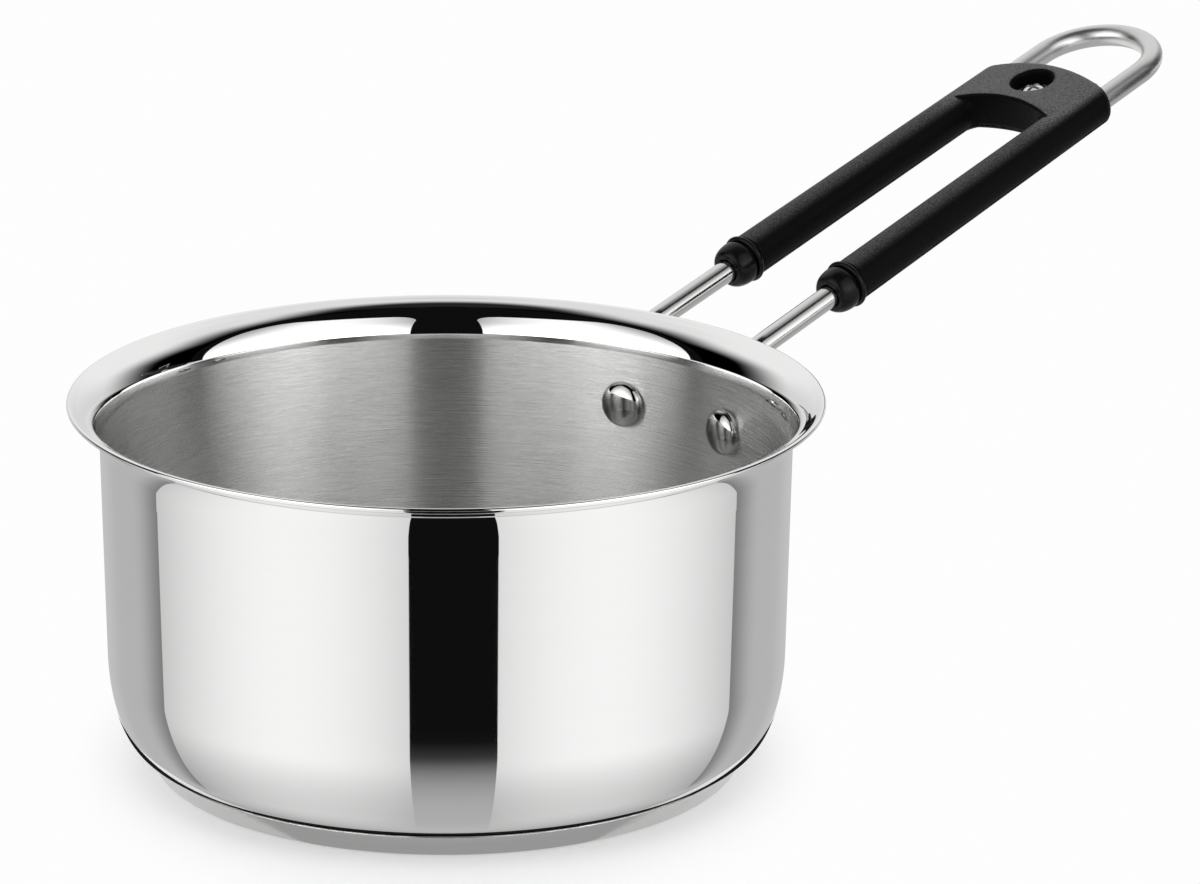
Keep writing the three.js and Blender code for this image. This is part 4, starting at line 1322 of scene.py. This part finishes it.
def sky(stage, azimuth, elevation, reach):
    """Points at an azimuth from the camera, to its right, and an elevation, at a distance."""
    right, back = view_axes(stage)
    level = np.cos(elevation)[..., None]
    points = level * (np.sin(azimuth)[..., None] * right + np.cos(azimuth)[..., None] * back)
    return reach * (points + np.sin(elevation)[..., None] * np.array((0, 0, 1.0)))


def stage_object(name, grid, material, brightness, **seen_by):
    """A stage surface, with a brightness for each point and the kinds of ray that meet it."""
    made = grid_object(name, grid, wrap_columns=False)
    shade = made.data.attributes.new("brightness", "FLOAT", "POINT")
    shade.data.foreach_set("value", brightness.astype(np.float32).ravel())
    made.data.materials.append(material)
    for kind, seen in seen_by.items():
        setattr(made, "visible_" + kind, seen)


def empty_material(name):
    """A material whose nodes are all still to be made, and its node tree."""
    material = bpy.data.materials.new(name)
    material.use_nodes = True
    material.node_tree.nodes.clear()
    return material, material.node_tree


def light_material(name, strength):
    """Plain light surface, whose brightness comes from the points."""
    material, tree = empty_material(name)
    shade = node(tree, "ShaderNodeAttribute", attribute_name="brightness").outputs["Fac"]
    light = node(tree, "ShaderNodeEmission", {"Strength": maths(tree, "MULTIPLY", shade, strength)})
    node(tree, "ShaderNodeOutputMaterial", {"Surface": light.outputs[0]})
    return material


def softbox(stage, name, side, material, loss, **seen_by):
    """Front panel: a patch of a sphere between two azimuths, with round upper corners.

    It loses light towards the camera, away from it and at the top, and by one more loss upwards.
    """
    across, up = np.meshgrid(np.linspace(0, 1, PANEL_POINTS), np.linspace(0, 1, PANEL_POINTS))
    (near, far), (low, high) = PANEL_AZIMUTH, PANEL_ELEVATION
    elevation = low + (high - low) * up
    past = np.clip((elevation - high + PANEL_CORNER) / PANEL_CORNER, 0, 1)
    inset = PANEL_CORNER * (1 - np.sqrt(1 - past ** 2))
    azimuth = near + inset + (far - near - 2 * inset) * across
    inner = np.clip((PANEL_NEAR[0] - azimuth) / (PANEL_NEAR[0] - PANEL_NEAR[1]), 0, None)
    shade = (1 - NEAR_LOSS * inner ** 2 - FAR_LOSS * smooth(azimuth, *PANEL_FAR)
             - TOP_LOSS * smooth(elevation, *PANEL_TOP))
    shade = shade * (1 - loss * smooth(elevation, *SHINE_SPAN))
    stage_object(name, sky(stage, side * azimuth, elevation, PANEL_REACH), material, shade,
                 **UNSEEN, **seen_by)


def back_sweep(stage, material):
    """Panel behind the pan: full light in the middle heights, less at its foot, top and sides."""
    turn, up = np.radians(np.meshgrid(np.linspace(*SWEEP_AZIMUTH), np.linspace(*SWEEP_ELEVATION)))
    foot = 1 - FOOT_LOSS * (1 - smooth(up, *SWEEP_FOOT))
    fade = foot * (1 - HIGH_LOSS * smooth(up, *SWEEP_HIGH) - HEAD_LOSS * smooth(up, *SWEEP_TOP))
    start = SWEEP_EDGE - EDGE_SHIFT * smooth(up, *EDGE_RISE)
    edge = smooth(math.pi - np.abs(turn - math.pi), start, start + EDGE_WIDTH)
    stage_object("back_sweep", sky(stage, turn, up, PANEL_REACH), material, fade * edge, **UNSEEN)


def tent(stage, material):
    """Black tent round the panels."""
    turn, up = np.meshgrid(np.linspace(0, TURN, TENT_POINTS), np.radians(np.linspace(*TENT_ELEVATION)))
    stage_object("tent", sky(stage, turn, up, TENT_REACH), material, np.ones(turn.shape), **UNSEEN)


def rise(value, share, start, end):
    """A share that comes in smoothly between two values."""
    return share * smooth(value, start, end)


def wall_light(across, away):
    """Light that the outer wall reflects, by its place across the pan and the distance from the wall.

    Across runs from -1 at the left outline to 1 at the right. Two white panels, each brightest at its
    middle and a little dimmer close to the pan as painted shadow of the floor, a black gap between them,
    and grey at both sides. Behind the wall's line, below the pan, all of it goes over into one grey.
    """
    off = np.abs(across)
    fall = np.where(off < WHITE_MIDDLE, *WHITE_FALL)
    close = NEAR_WHITE + rise(away, 1 - NEAR_WHITE, 0, NEAR_WIDTH)
    white = (WHITE - fall * (off - WHITE_MIDDLE) ** 2) * close
    side = SIDE_GREY + rise(off, *SIDE_RISE) + rise(off, *OUTLINE_RISE)
    gap = GAP_BLACK + GAP_NEAR * (1 - smooth(away, 0, GAP_WIDTH))
    inside = (across > WALL_EDGES[0]) & (across < WALL_EDGES[3])
    black = (across > WALL_EDGES[1]) & (across < WALL_EDGES[2])
    light = np.where(black, gap, np.where(inside, white, side))
    share, start, end = UNDER_RISE
    under = UNDER_GREY * (share + rise(away, 1 - share, start, end))
    return under + (light - under) * smooth(away, *UNDER_EDGE)


def mirror_card(stage, name, wall, reach, height, material, far=0.0):
    """Level card that only reflections show, laid out so that its shades stand upright on the round wall.

    A point of the card is the wall's point plus a distance along the level reflection of the ray from
    the camera to it.
    """
    right, back = view_axes(stage)
    ends = (-WALL_OUTLINE, *WALL_EDGES, WALL_OUTLINE)
    across = np.concatenate([np.linspace(a + HAIR, b - HAIR, CARD_COLUMNS)
                             for a, b in zip(ends[:-1], ends[1:])])
    normal = np.column_stack((across, np.sqrt(1 - across ** 2)))
    ray = wall * normal - np.array((0, np.hypot(*stage.camera[:2])))
    ray /= np.linalg.norm(ray, axis=1, keepdims=True)
    turned_back = ray - 2 * np.sum(ray * normal, axis=1, keepdims=True) * normal
    away = (reach[0] + (reach[1] - reach[0]) * np.linspace(0, 1, CARD_ROWS) ** 2)[:, None]
    plan = wall * normal + away[..., None] * turned_back
    grid = plan[..., :1] * right + plan[..., 1:] * back + np.array((0, 0, height))
    stage_object(name, grid, material, wall_light(across[None], away + far), **MIRRORED)


def groove_ring(stage, material):
    """Dark level ring beside the groove, in reflections only, wider at both sides of the pan: a painted
    shadow of the floor under the pan's corner.
    """
    right, back = view_axes(stage)
    turn = np.linspace(-math.pi, math.pi, RING_POINTS)
    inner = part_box("base_cap")[1].x + RING_GAP
    outer = inner + RING_WIDTH + rise(np.abs(turn), RING_MORE, *RING_SPAN)
    out = inner + (outer - inner) * np.linspace(0, 1, RING_ROWS)[:, None]
    grid = (out[..., None] * (np.sin(turn)[:, None] * right + np.cos(turn)[:, None] * back)
            + np.array((0, 0, RING_HEIGHT)))
    stage_object("groove_ring", grid, material, np.full(out.shape, RING_BLACK), **MIRRORED)


def loop_flag(material):
    """Upright dark card to the right of the hanging loop, in reflections only, greyer at its edges."""
    run = np.linspace(-1, 1, FLAG_POINTS)
    along, up = np.meshgrid(run, run)
    grid = FLAG_PLACE + np.stack((FLAG_SIZE[0] * along, 0 * along, FLAG_SIZE[1] * up), axis=-1)
    shade = FLAG_BLACK + rise(np.maximum(np.abs(along), np.abs(up)), FLAG_GREY, *FLAG_EDGE)
    stage_object("loop_flag", grid, material, shade, **MIRRORED)


def seen_rays(tree):
    """1 for the camera's rays and for those that are reflected or pass through, and 0 for light."""
    paths = node(tree, "ShaderNodeLightPath").outputs
    mirrored = maths(tree, "MAXIMUM", paths["Is Camera Ray"], paths["Is Glossy Ray"])
    return maths(tree, "MAXIMUM", mirrored, paths["Is Transmission Ray"])


def floor_material(stage):
    """Pale floor that takes the pan's shadow near it and goes over into the white background."""
    material, tree = empty_material("pale_floor")
    seen = seen_rays(tree)
    place = node(tree, "ShaderNodeTexCoord").outputs["Object"]
    right, back = view_axes(stage)
    stretched = joined(tree, X=vector_maths(tree, "DOT_PRODUCT", place, SIDE_FADE * right),
                       Y=vector_maths(tree, "DOT_PRODUCT", place, back))
    far = spread_out(tree, vector_maths(tree, "LENGTH", stretched), *FADE)
    paper = node(tree, "ShaderNodeBsdfDiffuse", {"Color": (*(stage.floor_colour,) * 3, 1)}).outputs[0]
    lift = node(tree, "ShaderNodeEmission", {"Strength": maths(tree, "MULTIPLY", seen, stage.floor_glow)})
    lit = node(tree, "ShaderNodeAddShader", {0: paper, 1: lift.outputs[0]}).outputs[0]
    plain = node(tree, "ShaderNodeEmission", {"Strength": stage.white}).outputs[0]
    blend = node(tree, "ShaderNodeMixShader", {0: maths(tree, "MULTIPLY", far, seen), 1: lit, 2: plain})
    node(tree, "ShaderNodeOutputMaterial", {"Surface": blend.outputs[0]})
    return material


def world_background(stage):
    """White behind everything for the camera and for reflections, and no light of its own."""
    world = bpy.data.worlds.new("white_background")
    bpy.context.scene.world = world
    world.use_nodes = True
    tree = world.node_tree
    shader = tree.nodes["Background"]
    shader.inputs["Color"].default_value = (1, 1, 1, 1)
    tree.links.new(maths(tree, "MULTIPLY", seen_rays(tree), stage.white), shader.inputs["Strength"])


def build_camera(stage):
    """Camera at the photograph's place, looking at the middle of its picture."""
    data = bpy.data.cameras.new("photo_view")
    data.lens, data.sensor_width = stage.lens, SENSOR
    data.clip_start, data.clip_end = CLIP
    camera = bpy.data.objects.new("photo_view", data)
    bpy.context.scene.collection.objects.link(camera)
    camera.location = stage.camera
    forward = Vector(stage.target) - Vector(stage.camera)
    camera.rotation_mode = "QUATERNION"
    camera.rotation_quaternion = forward.to_track_quat("-Z", "Y") @ Quaternion((0, 0, 1), stage.roll)
    bpy.context.scene.camera = camera


def build_lamp(stage):
    """Soft square lamp above, which lights the matt surfaces and stays out of the reflections."""
    data = bpy.data.lights.new("ceiling_lamp", "AREA")
    data.shape, data.size, data.energy = "SQUARE", LAMP_SIZE, stage.lamp
    lamp = bpy.data.objects.new("ceiling_lamp", data)
    bpy.context.scene.collection.objects.link(lamp)
    lamp.location = (0, 0, LAMP_HEIGHT)
    lamp.visible_glossy = False
    lamp.visible_camera = False


def build_floor(stage):
    """Flat round floor, turned from rings that are closer near the pan."""
    rings = np.concatenate((np.geomspace(FLOOR_REACH, FLOOR_HUB, FLOOR_RINGS), [0]))
    floor = grid_object("floor", turned(np.column_stack((rings, 0 * rings)), FLOOR_SIDES))
    floor.data.materials.append(floor_material(stage))


def build_stage(s):
    """Camera, lamp, background, floor, light panels, black tent, and the cards that steel reflects.

    Each front panel is there twice: one lights the matt surfaces, and one shows in reflections.
    """
    stage = s.stage
    bpy.context.scene.view_settings.view_transform = "Standard"
    build_camera(stage)
    build_lamp(stage)
    world_background(stage)
    build_floor(stage)
    light = light_material("softbox_light", stage.softbox)
    shine = light_material("softbox_shine", stage.shine)
    for name, side in (("left", -1), ("right", 1)):
        softbox(stage, "softbox_" + name, side, light, 0, glossy=False)
        softbox(stage, "softbox_shine_" + name, side, shine, SHINE_LOSS, diffuse=False)
    back_sweep(stage, light_material("sweep_light", stage.sweep))
    tent(stage, light_material("tent_black", TENT_BLACK))
    paper = light_material("card_shade", 1.0)
    wall = s.vessel.radius
    mirror_card(stage, "floor_card", wall, FLOOR_CARD, FLOOR_CARD_HEIGHT, paper)
    groove_ring(stage, paper)
    loop_flag(paper)
    mirror_card(stage, "rim_card", wall, RIM_CARD, RIM_CARD_HEIGHT, paper, far=RIM_CARD_FAR)


# Operators and panel

class SAUCEPAN_OT_stage(Operator):
    """Make the camera, the floor, the light panels and the background"""
    bl_idname = "saucepan.stage"
    bl_label = "Stage"

    def execute(self, context):
        build_stage(context.scene.saucepan)
        return {"FINISHED"}


class SAUCEPAN_OT_vessel(Operator):
    """Make the drawn vessel with its flared rim"""
    bl_idname = "saucepan.vessel"
    bl_label = "Vessel"

    def execute(self, context):
        build_vessel(context.scene.saucepan)
        return {"FINISHED"}


class SAUCEPAN_OT_base(Operator):
    """Make the heat disc and the base cap"""
    bl_idname = "saucepan.base"
    bl_label = "Capsule base"

    def execute(self, context):
        build_base(context.scene.saucepan)
        return {"FINISHED"}


class SAUCEPAN_OT_wire(Operator):
    """Make the hairpin wire with its flat ends and hanging loop"""
    bl_idname = "saucepan.wire"
    bl_label = "Handle wire"

    def execute(self, context):
        build_wire(context.scene.saucepan)
        return {"FINISHED"}


class SAUCEPAN_OT_rivets(Operator):
    """Make the two dome-head rivets"""
    bl_idname = "saucepan.rivets"
    bl_label = "Rivets"

    def execute(self, context):
        build_rivets(context.scene.saucepan)
        return {"FINISHED"}


class SAUCEPAN_OT_grip(Operator):
    """Make the upper and lower moulding of the grip"""
    bl_idname = "saucepan.grip"
    bl_label = "Grip mouldings"

    def execute(self, context):
        build_grip(context.scene.saucepan)
        return {"FINISHED"}


class SAUCEPAN_OT_nose_caps(Operator):
    """Make the two caps on the front ends of the grip"""
    bl_idname = "saucepan.nose_caps"
    bl_label = "Nose caps"

    def execute(self, context):
        build_nose_caps(context.scene.saucepan)
        return {"FINISHED"}


class SAUCEPAN_OT_fasteners(Operator):
    """Make the screw and the nut of the grip"""
    bl_idname = "saucepan.fasteners"
    bl_label = "Screw and nut"

    def execute(self, context):
        build_fasteners(context.scene.saucepan)
        return {"FINISHED"}


OPERATORS = (SAUCEPAN_OT_stage, SAUCEPAN_OT_vessel, SAUCEPAN_OT_base, SAUCEPAN_OT_wire,
             SAUCEPAN_OT_rivets, SAUCEPAN_OT_grip, SAUCEPAN_OT_nose_caps, SAUCEPAN_OT_fasteners)


class SAUCEPAN_PT_panel(Panel):
    """Lists the pieces of the saucepan"""
    bl_label = "Saucepan"
    bl_idname = "SAUCEPAN_PT_panel"
    bl_space_type = "VIEW_3D"
    bl_region_type = "UI"
    bl_category = "Saucepan"

    def draw(self, context):
        for operator in OPERATORS:
            self.layout.operator(operator.bl_idname)


GROUPS = (VesselSizes, BaseSizes, WireSizes, RivetSizes, NoseSizes, GripSizes, FastenerSizes,
          Finishes, StageSettings, SaucepanSettings)


def register():
    """Registers the classes and hangs the settings on the scene."""
    for item in (*GROUPS, *OPERATORS, SAUCEPAN_PT_panel):
        bpy.utils.register_class(item)
    bpy.types.Scene.saucepan = PointerProperty(type=SaucepanSettings, name="Saucepan",
                                               description="Sizes, finishes and stage of the pan")


def unregister():
    """Takes the settings and the classes away again."""
    del bpy.types.Scene.saucepan
    for item in reversed((*GROUPS, *OPERATORS, SAUCEPAN_PT_panel)):
        bpy.utils.unregister_class(item)


def main():
    """Registers the add-on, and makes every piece."""
    register()
    bpy.ops.saucepan.stage()
    bpy.ops.saucepan.vessel()
    bpy.ops.saucepan.base()
    bpy.ops.saucepan.wire()
    bpy.ops.saucepan.rivets()
    bpy.ops.saucepan.grip()
    bpy.ops.saucepan.nose_caps()
    bpy.ops.saucepan.fasteners()


if __name__ == "__main__":
    main()
